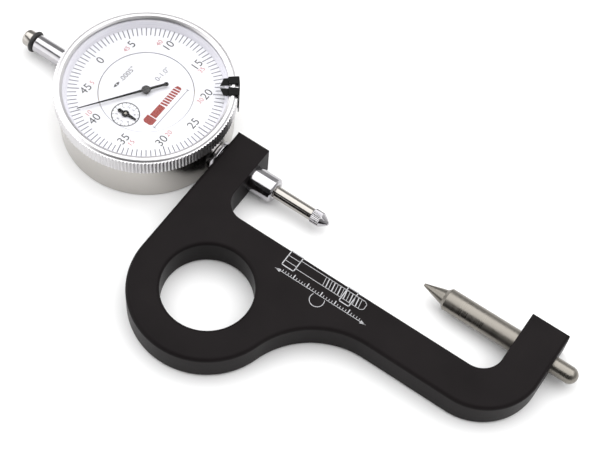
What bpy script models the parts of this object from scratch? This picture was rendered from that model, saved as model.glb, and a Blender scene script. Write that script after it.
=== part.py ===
"""Rod-bolt stretch gauge: a dial indicator held by its stem in a black C-shaped hand frame.

Run with: blender --background --python part.py
X runs along the spindle from the dial to the anvil, Y across the frame, Z up from the table.
Sizes are millimetres; the helpers under "scene objects" turn them into metres.
"""
import math

import bmesh
import bpy
from mathutils import Vector

MM = 0.001
ASSEMBLY_NAME = "rod_bolt_stretch_gauge"

# Hand frame
FRAME_THICKNESS = 11.1
AXIS_Z = 5.35
LEG_END_Y = 8.0
DIAL_LEG_X = (29.5, 41.4)
ANVIL_LEG_X = (136.2, 148.9)
BAR_Y = (-29.3, -17.0)
RING_CENTRE = (53.5, -41.15)
RING_RADIUS = RING_CENTRE[0] - DIAL_LEG_X[0]
RING_HOLE_RADIUS = 14.05
BLEND_RADIUS = 26.4
THROAT_FILLET = 6.7
ANVIL_FILLET = 7.0
OUTER_CORNER = 18.9
EDGE_ROUND = 1.4
HOLE_EDGE_ROUND = 1.3

# Anvil and the two clamp screws
ANVIL_RADIUS = 3.57
ANVIL_TAIL_RADIUS = 2.7
ANVIL_TIP_X = 104.05
ANVIL_TIP_RADIUS = 0.45
ANVIL_CONE_X = 111.35
ANVIL_CONE_RADIUS = 2.5
ANVIL_ROD_X = 112.35
ANVIL_SHOULDER_X = 143.8
ANVIL_END_X = 157.1
COUNTERBORE_END_X = 144.1
CLAMP_SCREW_RADIUS = 2.0
CLAMP_SCREW_TOP_Y = 7.6
CLAMP_HEX_RADIUS = 1.15
CLAMP_SOCKET_DEPTH = 1.8
DIAL_CLAMP_X = 35.45
ANVIL_CLAMP_X = 140.0

# Indicator case and what is fixed to it
CASE_RADIUS = 27.67
CASE_BORE = 25.6
CASE_RIM_RADIUS = 26.95
CASE_SHOULDER_Z = 13.6
CASE_TOP_Z = 15.4
COVER_RADIUS = 26.0
COVER_THICKNESS = 1.3
LUG_RADIUS = 2.2
LUG_CIRCLE = 23.5
LUG_TOP_Z = 7.9
STEM_RADIUS = 4.1
STEM_X = (25.7, 49.8)
STEM_CHAMFER = 0.6
COLLAR_X = (27.8, 29.3)
COLLAR_RADIUS = 5.2
BARREL_RADIUS = 3.0
BARREL_X = (-44.4, -25.7)
SCREW_SHANK = 0.8
SCREW_LENGTH = 3.9
SCREW_HEAD_RADIUS = 1.45
SCREW_HEAD_HEIGHT = 0.65

# Movement plates, pillars and dial feet
MAIN_PLATE_Z = (7.95, 8.65)
MAIN_PLATE_RADIUS = 25.4
FRONT_BRIDGE_Z = (12.0, 12.7)
REAR_BRIDGE_Z = (1.75, 2.5)
PILLARS = ((-12.0, 12.0), (-12.0, -17.5), (16.5, -11.0), (13.0, 10.0))
REAR_PILLARS = ((-16.5, -7.5), (-3.5, -7.5))
DIAL_FEET = ((-6.0, 9.0), (9.0, -2.0))

# Gear train: rack, twenty-leaf pinion and wheel, ten-leaf centre pinion, take-up wheel
RACK_PITCH = 0.635
RACK_MODULE = RACK_PITCH / math.pi
RACK_PINION_LEAVES = 20
RACK_PINION_RADIUS = RACK_MODULE * RACK_PINION_LEAVES / 2
RACK_LINE_Y = -1.5
WHEEL_MODULE = 0.19
WHEEL_TEETH = 100
CENTRE_LEAVES = 10
ARBOR_SPACING = WHEEL_MODULE * (WHEEL_TEETH + CENTRE_LEAVES) / 2
RACK_ARBOR_Y = RACK_LINE_Y - RACK_PINION_RADIUS
RACK_ARBOR = (-math.sqrt(ARBOR_SPACING ** 2 - RACK_ARBOR_Y ** 2), RACK_ARBOR_Y)
TAKE_UP_ARBOR = (0.0, -ARBOR_SPACING)
RACK_WHEEL_Z = (9.2, 9.8)
TAKE_UP_WHEEL_Z = (10.4, 11.0)
CENTRE_PINION_Z = (9.0, 11.3)
RACK_PINION_Z = (4.3, 6.4)
WHEEL_SEAT = 0.7
TOOTH_TIP = 0.8
TOOTH_ROOT = 1.1
TOOTH_FILL = 0.42
PRESSURE_ANGLE = math.radians(20)
HAIRSPRING_Z = 11.6
HAIRSPRING_RADII = (0.9, 4.15)
HAIRSPRING_TURNS = 3
HAIRSPRING_WIRE = 0.08
HAIRSPRING_POST = (TAKE_UP_ARBOR[0] + 4.9, TAKE_UP_ARBOR[1])

# Spindle and what travels with it
SPINDLE_RADIUS = 2.0
SPINDLE_X = (-44.4, 63.45)
RACK_X = (-12.6, 18.2)
CAP_STUD_RADIUS = 1.1
CAP_STUD_END_X = -47.9
CAP_X = (-49.1, -44.5)
CAP_HEAD_X = -45.9
CAP_NECK_RADIUS = 2.2
CAP_HEAD_RADIUS = 2.8
BUMPER_WIRE = 0.7
CONTACT_RADIUS = 2.35
CONTACT_RIDGES = 20
CONTACT_KNURL_X = (63.8, 66.6)
CONTACT_TIP_X = 69.4
CONTACT_STUD_RADIUS = 1.0
CONTACT_STUD_LENGTH = 5.0
GUIDE_PIN_X = 3.0
GUIDE_PIN_RADIUS = 0.7
GUIDE_PIN_Y = (0.7, 7.2)
GUIDE_TRACK_X = (-23.6, 5.0)
SPRING_Y = 3.7
SPRING_POST_X = 22.6
SPRING_RADIUS = 0.85
SPRING_WIRE = 0.14
SPRING_TURNS = 12

# Dial, pointers, bezel and limit clips
BEZEL_RADIUS = 28.575
BEZEL_Z = (14.0, 20.5)
KNURL_Z = (14.4, 19.8)
BEZEL_CROWN = (26.5, 27.45)
BEZEL_TEETH = 160
BEZEL_TOOTH_DEPTH = 0.35
BEZEL_SEAT = 26.2
BEZEL_LIP = 25.7
GLASS_Z = (18.9, 19.6)
SPACER_BORE = (24.4, 25.5)
DIAL_RING_Z = (15.9, 16.5)
DIAL_PLATE_Z = (15.7, 16.3)
DIAL_SPLIT_RADIUS = 14.9
POINTER_ANGLE = -125.0
POINTER_LENGTH = 22.2
POINTER_Z = (17.45, 17.65)
POINTER_HUB_Z = (16.6, 17.95)
SMALL_POINTER_ANGLE = 2.0
SMALL_POINTER_Z = (16.7, 16.9)
CLIP_ANGLES = (39.6, 30.8)
CLIP_WIDTH = 2.7
CLIP_SHEET = 0.3
CLIP_TIP_RADIUS = 22.8
CLIP_TAPER = 1.3
CLIP_FOOT_Z = 11.6

# Clearances and facet counts
RUNNING = 0.08
FITTED = 0.05
BIG_FACETS = 64
ROD_FACETS = 24
SMALL_FACETS = 12

# Turn a shape made along Z onto another axis
TURN = {
    "x": (0, math.pi / 2, 0),
    "y": (-math.pi / 2, 0, 0),
    "z": (0, 0, 0),
}

# Colour, metallic, roughness and alpha of each finish
FINISHES = {
    "black anodised": ((0.02, 0.018, 0.018), 0.5, 0.38, 1.0),
    "satin steel": ((0.62, 0.6, 0.57), 1.0, 0.32, 1.0),
    "bright chrome": ((0.82, 0.82, 0.83), 1.0, 0.12, 1.0),
    "silver case": ((0.66, 0.65, 0.63), 1.0, 0.35, 1.0),
    "brass": ((0.78, 0.6, 0.28), 1.0, 0.3, 1.0),
    "black oxide": ((0.03, 0.03, 0.032), 0.6, 0.4, 1.0),
    "white enamel": ((0.9, 0.9, 0.9), 0.0, 0.45, 1.0),
    "grey spacer": ((0.7, 0.69, 0.72), 0.3, 0.4, 1.0),
    "clear glass": ((0.95, 0.97, 0.98), 0.0, 0.04, 0.3),
    "rubber": ((0.015, 0.015, 0.015), 0.0, 0.6, 1.0),
    "black paint": ((0.01, 0.01, 0.01), 0.0, 0.4, 1.0),
}


# ---------------------------------------------------------------- outlines

def arc(centre, radius, start, end, steps):
    """Points on an arc between two angles in degrees, both ends included."""
    angles = [math.radians(start + (end - start) * i / steps) for i in range(steps + 1)]
    return [(centre[0] + radius * math.cos(a), centre[1] + radius * math.sin(a)) for a in angles]


def circle(radius, count, centre=(0.0, 0.0)):
    return arc(centre, radius, 0, 360, count)[:-1]


def knurl(radius, teeth, depth):
    """Outline with a small pointed ridge for every tooth."""
    outline = []
    for i in range(2 * teeth):
        r = radius if i % 2 == 0 else radius - depth
        angle = math.pi * i / teeth
        outline.append((r * math.cos(angle), r * math.sin(angle)))
    return outline


def gear(teeth, module, tooth_angle, flank_steps):
    """Thinned involute outline with one tooth centred on tooth_angle, in radians."""
    pitch_radius = module * teeth / 2
    base_radius = pitch_radius * math.cos(PRESSURE_ANGLE)
    tip = pitch_radius + TOOTH_TIP * module
    root = pitch_radius - TOOTH_ROOT * module

    def involute(radius):
        pressure = math.acos(min(1.0, base_radius / radius))
        return math.tan(pressure) - pressure

    flank = []
    for i in range(flank_steps + 1):
        radius = root + (tip - root) * i / flank_steps
        half = TOOTH_FILL * math.pi / teeth + involute(pitch_radius) - involute(radius)
        flank.append((radius, half))
    outline = []
    for tooth in range(teeth):
        middle = tooth_angle + 2 * math.pi * tooth / teeth
        sides = [(r, middle - half) for r, half in flank]
        sides += [(r, middle + half) for r, half in reversed(flank)]
        outline += [(r * math.cos(a), r * math.sin(a)) for r, a in sides]
    return outline


def meshing_angle(driver_tooth, direction, driver_teeth, driven_teeth):
    """Tooth angle of a wheel whose gap takes the driver's nearest tooth.

    direction is the angle from the driver's centre to the driven wheel's centre.
    """
    pitch = 2 * math.pi / driver_teeth
    offset = (driver_tooth - direction + pitch / 2) % pitch - pitch / 2
    gap = direction + math.pi - offset * driver_teeth / driven_teeth
    return gap + math.pi / driven_teeth


def rounded_hull(points, radius, steps=6):
    """Convex outline that stays a fixed distance outside points given anticlockwise."""
    outline = []
    for i, point in enumerate(points):
        before = Vector(point) - Vector(points[i - 1])
        after = Vector(points[(i + 1) % len(points)]) - Vector(point)
        start = math.degrees(math.atan2(before.y, before.x)) - 90
        end = math.degrees(math.atan2(after.y, after.x)) - 90
        outline += arc(point, radius, start, start + (end - start) % 360, steps)
    return outline


def pointer_outline(length, tip_half, root_half, hub, tail, disc):
    """Tapered hand along +X with a hub disc round the origin and a tail that ends in a small disc."""
    root_angle = math.degrees(math.asin(root_half / hub))
    neck_angle = math.degrees(math.asin(root_half / disc))
    outline = [(length, -tip_half), (length, tip_half)]
    outline += arc((0, 0), hub, root_angle, 180 - root_angle, 6)
    outline += arc((disc - tail, 0), disc, neck_angle, 360 - neck_angle, 10)
    outline += arc((0, 0), hub, 180 + root_angle, 360 - root_angle, 6)
    return outline


# ---------------------------------------------------------------- scene objects

def clear_scene():
    for item in list(bpy.data.objects):
        bpy.data.objects.remove(item, do_unlink=True)


def make_collection(name):
    collection = bpy.data.collections.new(name)
    bpy.context.scene.collection.children.link(collection)
    return collection


clear_scene()
PARTS = make_collection(ASSEMBLY_NAME)
CUTTERS = make_collection("cutters")


def metres(*values):
    return tuple(value * MM for value in values)


def dress(item, name, finish):
    """Name a finished piece and give it its material, or set it aside as a hidden cutter."""
    item.name = name
    item.data.name = name
    home = PARTS if finish else CUTTERS
    for collection in list(item.users_collection):
        collection.objects.unlink(item)
    home.objects.link(item)
    if finish:
        colour, metallic, roughness, alpha = FINISHES[finish]
        material = bpy.data.materials.new(name)
        material.use_nodes = True
        shader = material.node_tree.nodes["Principled BSDF"]
        shader.inputs["Base Color"].default_value = (*colour, 1.0)
        shader.inputs["Metallic"].default_value = metallic
        shader.inputs["Roughness"].default_value = roughness
        shader.inputs["Alpha"].default_value = alpha
        item.data.materials.append(material)
    else:
        item.hide_render = True
        item.display_type = "WIRE"
    return item


def shade(item):
    item.data.shade_smooth()
    item.data.set_sharp_from_angle(angle=math.radians(32))


def place(item, at, axis="z"):
    item.location = metres(*at)
    item.rotation_euler = TURN[axis]


def cylinder(name, radius, start, end, finish=None, at=(0, 0, 0), axis="z", facets=SMALL_FACETS):
    """Round bar between two heights along its axis, with its origin at the point at."""
    bpy.ops.mesh.primitive_cylinder_add(vertices=facets, radius=radius * MM, depth=(end - start) * MM)
    item = bpy.context.active_object
    for vertex in item.data.vertices:
        vertex.co.z += (start + end) / 2 * MM
    shade(item)
    place(item, at, axis)
    return dress(item, name, finish)


def box(name, size, finish=None, at=(0, 0, 0), turn=0.0):
    bpy.ops.mesh.primitive_cube_add(size=1)
    item = bpy.context.active_object
    for vertex in item.data.vertices:
        vertex.co = [c * side * MM for c, side in zip(vertex.co, size)]
    item.location = metres(*at)
    item.rotation_euler.z = turn
    return dress(item, name, finish)


def turned(name, profile, finish=None, at=(0, 0, 0), axis="z", facets=ROD_FACETS, ring=False):
    """Lathe a profile of (radius, height) points, given down its outer side from the top."""
    mesh = bpy.data.meshes.new(name)
    edges = [(i, i + 1) for i in range(len(profile) - 1)]
    if ring:
        edges.append((len(profile) - 1, 0))
    mesh.from_pydata([metres(radius, 0, height) for radius, height in profile], edges, [])
    item = bpy.data.objects.new(name, mesh)
    bpy.context.scene.collection.objects.link(item)
    screw = item.modifiers.new("turn", "SCREW")
    screw.steps = facets
    screw.render_steps = facets
    screw.use_merge_vertices = True
    screw.merge_threshold = 0.00001
    place(item, at, axis)
    return dress(item, name, finish)


def flat(name, outlines, z0, z1, finish=None, at=(0, 0, 0), turn=(0, 0, 0)):
    """Flat piece from an outline and any holes inside it, between two heights."""
    curve = bpy.data.curves.new(name, "CURVE")
    curve.dimensions = "2D"
    curve.fill_mode = "BOTH"
    curve.extrude = (z1 - z0) / 2 * MM
    for outline in outlines:
        spline = curve.splines.new("POLY")
        spline.points.add(len(outline) - 1)
        for point, (x, y) in zip(spline.points, outline):
            point.co = (x * MM, y * MM, 0, 1)
        spline.use_cyclic_u = True
    item = bpy.data.objects.new(name, curve)
    bpy.context.scene.collection.objects.link(item)
    item.rotation_euler = turn
    item.location = metres(*at)
    middle = Vector((0, 0, (z0 + z1) / 2 * MM))
    item.location += item.rotation_euler.to_matrix() @ middle
    return dress(item, name, finish)


def as_mesh(item):
    """The same object as a welded mesh, so that it can be bevelled, cut or used as a cutter."""
    bpy.context.view_layer.update()
    graph = bpy.context.evaluated_depsgraph_get()
    mesh = bpy.data.meshes.new_from_object(item.evaluated_get(graph))
    solid = bmesh.new()
    solid.from_mesh(mesh)
    bmesh.ops.remove_doubles(solid, verts=solid.verts, dist=0.000001)
    bmesh.ops.dissolve_limit(solid, angle_limit=0.001, verts=solid.verts, edges=solid.edges)
    bmesh.ops.recalc_face_normals(solid, faces=solid.faces)
    solid.to_mesh(mesh)
    solid.free()
    copy = bpy.data.objects.new(item.name, mesh)
    copy.matrix_world = item.matrix_world
    for collection in item.users_collection:
        collection.objects.link(copy)
    copy.hide_render = item.hide_render
    copy.display_type = item.display_type
    name = item.name
    bpy.data.objects.remove(item, do_unlink=True)
    copy.name = name
    return copy


def wire(name, path, radius, finish):
    """Round wire along a list of points."""
    curve = bpy.data.curves.new(name, "CURVE")
    curve.dimensions = "3D"
    curve.bevel_depth = radius * MM
    curve.bevel_resolution = 0
    curve.use_fill_caps = True
    spline = curve.splines.new("POLY")
    spline.points.add(len(path) - 1)
    for point, spot in zip(spline.points, path):
        point.co = (*metres(*spot), 1)
    item = bpy.data.objects.new(name, curve)
    bpy.context.scene.collection.objects.link(item)
    return dress(item, name, finish)


def combine(item, other, operation="DIFFERENCE"):
    modifier = item.modifiers.new(other.name, "BOOLEAN")
    modifier.operation = operation
    modifier.solver = "EXACT"
    modifier.object = other


# ---------------------------------------------------------------- hand frame

def frame_outline():
    """Outline of the C frame with its round finger end, anticlockwise from the dial leg."""
    blend_y = BAR_Y[0] - BLEND_RADIUS
    drop = blend_y - RING_CENTRE[1]
    blend_x = RING_CENTRE[0] + math.sqrt((RING_RADIUS + BLEND_RADIUS) ** 2 - drop ** 2)
    touch = math.degrees(math.atan2(drop, blend_x - RING_CENTRE[0]))
    outside = (ANVIL_LEG_X[1] - OUTER_CORNER, BAR_Y[0] + OUTER_CORNER)
    inside = (ANVIL_LEG_X[0] - ANVIL_FILLET, BAR_Y[1] + ANVIL_FILLET)
    throat = (DIAL_LEG_X[1] + THROAT_FILLET, BAR_Y[1] + THROAT_FILLET)

    outline = [(DIAL_LEG_X[0], LEG_END_Y)]
    outline += arc(RING_CENTRE, RING_RADIUS, -180, touch, 26)
    outline += arc((blend_x, blend_y), BLEND_RADIUS, 180 + touch, 90, 9)[1:]
    outline += arc(outside, OUTER_CORNER, -90, 0, 10)
    outline += [(ANVIL_LEG_X[1], LEG_END_Y), (ANVIL_LEG_X[0], LEG_END_Y)]
    outline += arc(inside, ANVIL_FILLET, 0, -90, 8)
    outline += arc(throat, THROAT_FILLET, -90, -180, 8)
    outline += [(DIAL_LEG_X[1], LEG_END_Y)]
    return outline


def round_outer_edges(frame):
    """Bevel the long outer edge of both faces; the throat and the leg ends stay crisp."""
    mesh = frame.data
    weights = mesh.attributes.new("bevel_weight_edge", "FLOAT", "EDGE")
    margin = 0.1
    for edge in mesh.edges:
        a, b = (mesh.vertices[i].co / MM for i in edge.vertices)
        middle = (a + b) / 2
        level = abs(a.z - b.z) < margin
        on_end = middle.y > LEG_END_Y - margin
        between_legs = DIAL_LEG_X[1] - margin < middle.x < ANVIL_LEG_X[0] + margin
        in_throat = between_legs and middle.y > BAR_Y[1] - margin
        if level and not on_end and not in_throat:
            weights.data[edge.index].value = 1.0
    bevel = frame.modifiers.new("outer edge", "BEVEL")
    bevel.limit_method = "WEIGHT"
    bevel.width = EDGE_ROUND * MM
    bevel.segments = 2


def ring_hole_cutter():
    """Round cutter that flares at both faces, which rounds the finger hole's edges."""
    steps = 2
    flare = []
    for i in range(steps + 1):
        angle = math.pi / 2 * i / steps
        flare.append((HOLE_EDGE_ROUND * (1 - math.sin(angle)), HOLE_EDGE_ROUND * (1 - math.cos(angle))))
    wide = RING_HOLE_RADIUS + HOLE_EDGE_ROUND
    profile = [(0, FRAME_THICKNESS + 1), (wide, FRAME_THICKNESS + 1)]
    profile += [(RING_HOLE_RADIUS + out, FRAME_THICKNESS - depth) for out, depth in flare]
    profile += [(RING_HOLE_RADIUS + out, depth) for out, depth in reversed(flare)]
    profile += [(wide, -1), (0, -1)]
    return turned("finger_hole", profile, at=(*RING_CENTRE, 0), facets=36)


def build_frame():
    frame = as_mesh(flat("gauge_frame", [frame_outline()], 0, FRAME_THICKNESS, "black anodised"))
    round_outer_edges(frame)
    combine(frame, ring_hole_cutter())
    axis = (0, 0, AXIS_Z)
    stem_bore = cylinder("stem_bore", STEM_RADIUS + FITTED, DIAL_LEG_X[0] - 2, DIAL_LEG_X[1] + 2,
                         at=axis, axis="x", facets=ROD_FACETS)
    combine(frame, stem_bore)
    anvil_bore = turned("anvil_bore", [
        (0, ANVIL_LEG_X[1] + 2),
        (ANVIL_TAIL_RADIUS + FITTED, ANVIL_LEG_X[1] + 2),
        (ANVIL_TAIL_RADIUS + FITTED, COUNTERBORE_END_X),
        (ANVIL_RADIUS + FITTED, COUNTERBORE_END_X),
        (ANVIL_RADIUS + FITTED, ANVIL_LEG_X[0] - 2),
        (0, ANVIL_LEG_X[0] - 2),
    ], at=axis, axis="x")
    combine(frame, anvil_bore)
    for name, x in (("stem_screw_hole", DIAL_CLAMP_X), ("anvil_screw_hole", ANVIL_CLAMP_X)):
        hole = cylinder(name, CLAMP_SCREW_RADIUS + FITTED, 1.0, LEG_END_Y + 2,
                        at=(x, 0, AXIS_Z), axis="y", facets=ROD_FACETS)
        combine(frame, hole)


def build_clamp_screws():
    """Headless screws with a hexagon socket, down the end of each leg onto what they clamp."""
    for name, x, rod_radius in (("stem_clamp_screw", DIAL_CLAMP_X, STEM_RADIUS),
                                ("anvil_clamp_screw", ANVIL_CLAMP_X, ANVIL_RADIUS)):
        tip = rod_radius + FITTED
        top = CLAMP_SCREW_TOP_Y
        screw = turned(name, [
            (0, top),
            (CLAMP_SCREW_RADIUS - 0.2, top),
            (CLAMP_SCREW_RADIUS, top - 0.2),
            (CLAMP_SCREW_RADIUS, tip + 0.5),
            (CLAMP_SCREW_RADIUS * 0.6, tip),
            (0, tip),
        ], "black oxide", at=(x, 0, AXIS_Z), axis="y")
        socket = cylinder(f"{name}_socket", CLAMP_HEX_RADIUS, top - CLAMP_SOCKET_DEPTH, top + 1,
                          at=(x, 0, AXIS_Z), axis="y", facets=6)
        combine(screw, socket)


def build_anvil():
    """Pointed rod with a domed tail, stepped so that its shoulder stops inside the leg."""
    tail_steps = 4
    dome_centre = ANVIL_END_X - ANVIL_TAIL_RADIUS
    dome = arc((0, dome_centre), ANVIL_TAIL_RADIUS, 90, 0, tail_steps)
    dome[0] = (0, ANVIL_END_X)
    turned("anvil", dome + [
        (ANVIL_TAIL_RADIUS, ANVIL_SHOULDER_X),
        (ANVIL_RADIUS, ANVIL_SHOULDER_X),
        (ANVIL_RADIUS, ANVIL_ROD_X),
        (ANVIL_CONE_RADIUS, ANVIL_CONE_X),
        (ANVIL_TIP_RADIUS, ANVIL_TIP_X + 0.15),
        (0, ANVIL_TIP_X),
    ], "satin steel", at=(0, 0, AXIS_Z), axis="x")


# ---------------------------------------------------------------- case

def lug_centres():
    offset = LUG_CIRCLE / math.sqrt(2)
    return [(offset, offset), (-offset, offset), (-offset, -offset), (offset, -offset)]


def build_case():
    """Round case open at both ends, with four lugs that take the cover and plate screws."""
    ledge = COVER_THICKNESS + FITTED
    case = turned("indicator_case", [
        (CASE_BORE, CASE_TOP_Z),
        (CASE_RIM_RADIUS, CASE_TOP_Z),
        (CASE_RIM_RADIUS, CASE_SHOULDER_Z),
        (CASE_RADIUS, CASE_SHOULDER_Z),
        (CASE_RADIUS, 0.4),
        (CASE_RADIUS - 0.4, 0),
        (COVER_RADIUS + 0.1, 0),
        (COVER_RADIUS + 0.1, ledge),
        (CASE_BORE, ledge),
    ], "silver case", facets=BIG_FACETS, ring=True)
    for i, spot in enumerate(lug_centres(), 1):
        at = (*spot, 0)
        combine(case, cylinder(f"lug_{i}", LUG_RADIUS, ledge, LUG_TOP_Z, at=at), "UNION")
        combine(case, cylinder(f"cover_tapping_{i}", SCREW_SHANK + FITTED, 0.5, 4.4, at=at))
        combine(case, cylinder(f"plate_tapping_{i}", SCREW_SHANK + FITTED, 5.0, 9.0, at=at))
    axis = (0, 0, AXIS_Z)
    combine(case, cylinder("case_stem_hole", STEM_RADIUS + FITTED, 20, 32, at=axis, axis="x", facets=ROD_FACETS))
    combine(case, cylinder("case_barrel_hole", BARREL_RADIUS + FITTED, -32, -20,
                           at=axis, axis="x", facets=ROD_FACETS))


def build_cover():
    cover = cylinder("back_cover", COVER_RADIUS, 0, COVER_THICKNESS, "silver case", facets=BIG_FACETS)
    for i, spot in enumerate(lug_centres(), 1):
        counterbore = turned(f"cover_hole_{i}", [
            (0, COVER_THICKNESS + 1),
            (SCREW_SHANK + 0.15, COVER_THICKNESS + 1),
            (SCREW_SHANK + 0.15, 0.82),
            (SCREW_HEAD_RADIUS + 0.15, 0.82),
            (SCREW_HEAD_RADIUS + 0.15, -1),
            (0, -1),
        ], at=(*spot, 0), facets=SMALL_FACETS)
        combine(cover, counterbore)


def slotted_screw(name, at, points_up):
    """Cheese-head screw whose head's outer face is at the point at."""
    way = 1 if points_up else -1
    profile = [
        (0, SCREW_LENGTH * way),
        (SCREW_SHANK, SCREW_LENGTH * way),
        (SCREW_SHANK, SCREW_HEAD_HEIGHT * way),
        (SCREW_HEAD_RADIUS, SCREW_HEAD_HEIGHT * way),
        (SCREW_HEAD_RADIUS, 0.15 * way),
        (SCREW_HEAD_RADIUS - 0.15, 0),
        (0, 0),
    ]
    screw = turned(name, profile if points_up else profile[::-1], "satin steel", at, facets=SMALL_FACETS)
    combine(screw, box(f"{name}_slot", (4, 0.36, 0.7), at=at, turn=math.radians(30)))


def build_case_screws():
    head_top = MAIN_PLATE_Z[1] + FITTED + SCREW_HEAD_HEIGHT
    for i, spot in enumerate(lug_centres(), 1):
        slotted_screw(f"cover_screw_{i}", (*spot, 0.12), points_up=True)
        slotted_screw(f"plate_screw_{i}", (*spot, head_top), points_up=False)


def build_tubes():
    """Stem that the frame clamps, and the smaller tube that guides the spindle's other end."""
    bore = SPINDLE_RADIUS + RUNNING
    turned("stem", [
        (bore, STEM_X[1]),
        (STEM_RADIUS - STEM_CHAMFER, STEM_X[1]),
        (STEM_RADIUS, STEM_X[1] - STEM_CHAMFER),
        (STEM_RADIUS, COLLAR_X[1]),
        (COLLAR_RADIUS, COLLAR_X[1]),
        (COLLAR_RADIUS, COLLAR_X[0]),
        (STEM_RADIUS, COLLAR_X[0]),
        (STEM_RADIUS, STEM_X[0]),
        (bore, STEM_X[0]),
    ], "bright chrome", at=(0, 0, AXIS_Z), axis="x", ring=True)
    turned("top_barrel", [
        (bore, BARREL_X[1]),
        (BARREL_RADIUS, BARREL_X[1]),
        (BARREL_RADIUS, BARREL_X[0] + 0.2),
        (BARREL_RADIUS - 0.2, BARREL_X[0]),
        (bore, BARREL_X[0]),
    ], "bright chrome", at=(0, 0, AXIS_Z), axis="x", ring=True)


# ---------------------------------------------------------------- movement

def hole(spot, radius):
    return circle(radius, SMALL_FACETS, spot)


def build_plates():
    holes = [hole(spot, SCREW_SHANK + 0.15) for spot in lug_centres()]
    holes += [hole((0, 0), 0.4), hole(TAKE_UP_ARBOR, 0.4), hole(RACK_ARBOR, 1.1)]
    flat("main_plate", [circle(MAIN_PLATE_RADIUS, BIG_FACETS // 2)] + holes, *MAIN_PLATE_Z, "brass")

    holes = [hole(spot, 0.85) for spot in PILLARS]
    holes += [hole((0, 0), 0.7), hole(TAKE_UP_ARBOR, 0.6), hole(RACK_ARBOR, 0.45)]
    holes.append(hole(HAIRSPRING_POST, 0.35))
    flat("front_bridge", [rounded_hull(PILLARS, 2.6)] + holes, *FRONT_BRIDGE_Z, "brass")

    holes = [hole(spot, 0.75) for spot in REAR_PILLARS] + [hole(RACK_ARBOR, 0.45)]
    flat("rear_bridge", [rounded_hull([*REAR_PILLARS, RACK_ARBOR], 2.0)] + holes, *REAR_BRIDGE_Z, "brass")


def build_pillars():
    low, high = MAIN_PLATE_Z[1] + FITTED, FRONT_BRIDGE_Z[0] - FITTED
    for i, spot in enumerate(PILLARS, 1):
        turned(f"bridge_pillar_{i}", [
            (0, FRONT_BRIDGE_Z[1] + 0.1),
            (0.8, FRONT_BRIDGE_Z[1] + 0.1),
            (0.8, high),
            (1.4, high),
            (1.4, low),
            (0, low),
        ], "satin steel", at=(*spot, 0), facets=SMALL_FACETS)
    low, high = REAR_BRIDGE_Z[1] + FITTED, MAIN_PLATE_Z[0] - FITTED
    for i, spot in enumerate(REAR_PILLARS, 1):
        turned(f"rear_pillar_{i}", [
            (0, high),
            (1.2, high),
            (1.2, low),
            (0.7, low),
            (0.7, REAR_BRIDGE_Z[0] - 0.1),
            (0, REAR_BRIDGE_Z[0] - 0.1),
        ], "satin steel", at=(*spot, 0), facets=SMALL_FACETS)
    for i, spot in enumerate(DIAL_FEET, 1):
        cylinder(f"dial_foot_{i}", 1.0, FRONT_BRIDGE_Z[1] + FITTED, DIAL_PLATE_Z[0] - FITTED,
                 "brass", at=(*spot, 0))


def arbor(name, sections, spot):
    """Stepped shaft from (radius, top) sections given from the top down, then its foot."""
    profile = [(0, sections[0][1])]
    tops = [top for _, top in sections]
    for (radius, top), below in zip(sections[:-1], tops[1:]):
        profile += [(radius, top), (radius, below)]
    profile.append((0, tops[-1]))
    return turned(name, profile, "satin steel", at=(*spot, 0), facets=SMALL_FACETS)


def leaves(name, outline, z, spot):
    return as_mesh(flat(name, [outline], *z, at=(*spot, 0)))


def build_gear_train():
    rack_direction = math.atan2(RACK_ARBOR[1], RACK_ARBOR[0])
    rack_arbor = arbor("rack_pinion", [
        (0.35, FRONT_BRIDGE_Z[1] - 0.1),
        (WHEEL_SEAT, 9.95),
        (0.8, 9.1),
        (0.35, 2.6),
        (0, REAR_BRIDGE_Z[0] + 0.1),
    ], RACK_ARBOR)
    outline = gear(RACK_PINION_LEAVES, RACK_MODULE, math.pi / 2, 2)
    combine(rack_arbor, leaves("rack_leaves", outline, RACK_PINION_Z, RACK_ARBOR), "UNION")

    centre_arbor = arbor("centre_pinion", [
        (0.5, POINTER_HUB_Z[1] - 0.35),
        (0.6, 12.9),
        (0.3, 8.8),
        (0, 8.05),
    ], (0, 0))
    outline = gear(CENTRE_LEAVES, WHEEL_MODULE, rack_direction, 3)
    combine(centre_arbor, leaves("centre_leaves", outline, CENTRE_PINION_Z, (0, 0)), "UNION")

    arbor("take_up_arbor", [
        (0.4, SMALL_POINTER_Z[1] + 0.1),
        (0.5, 12.9),
        (0.6, 11.9),
        (WHEEL_SEAT, 11.1),
        (0.8, 10.3),
        (0.3, 8.75),
        (0, 8.05),
    ], TAKE_UP_ARBOR)

    seat = circle(WHEEL_SEAT + FITTED, SMALL_FACETS)
    for name, direction, z, spot in (("rack_wheel", rack_direction, RACK_WHEEL_Z, RACK_ARBOR),
                                     ("take_up_wheel", -math.pi / 2, TAKE_UP_WHEEL_Z, TAKE_UP_ARBOR)):
        tooth_angle = meshing_angle(rack_direction, direction, CENTRE_LEAVES, WHEEL_TEETH)
        flat(name, [gear(WHEEL_TEETH, WHEEL_MODULE, tooth_angle, 1), seat], *z, "brass", at=(*spot, 0))


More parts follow.
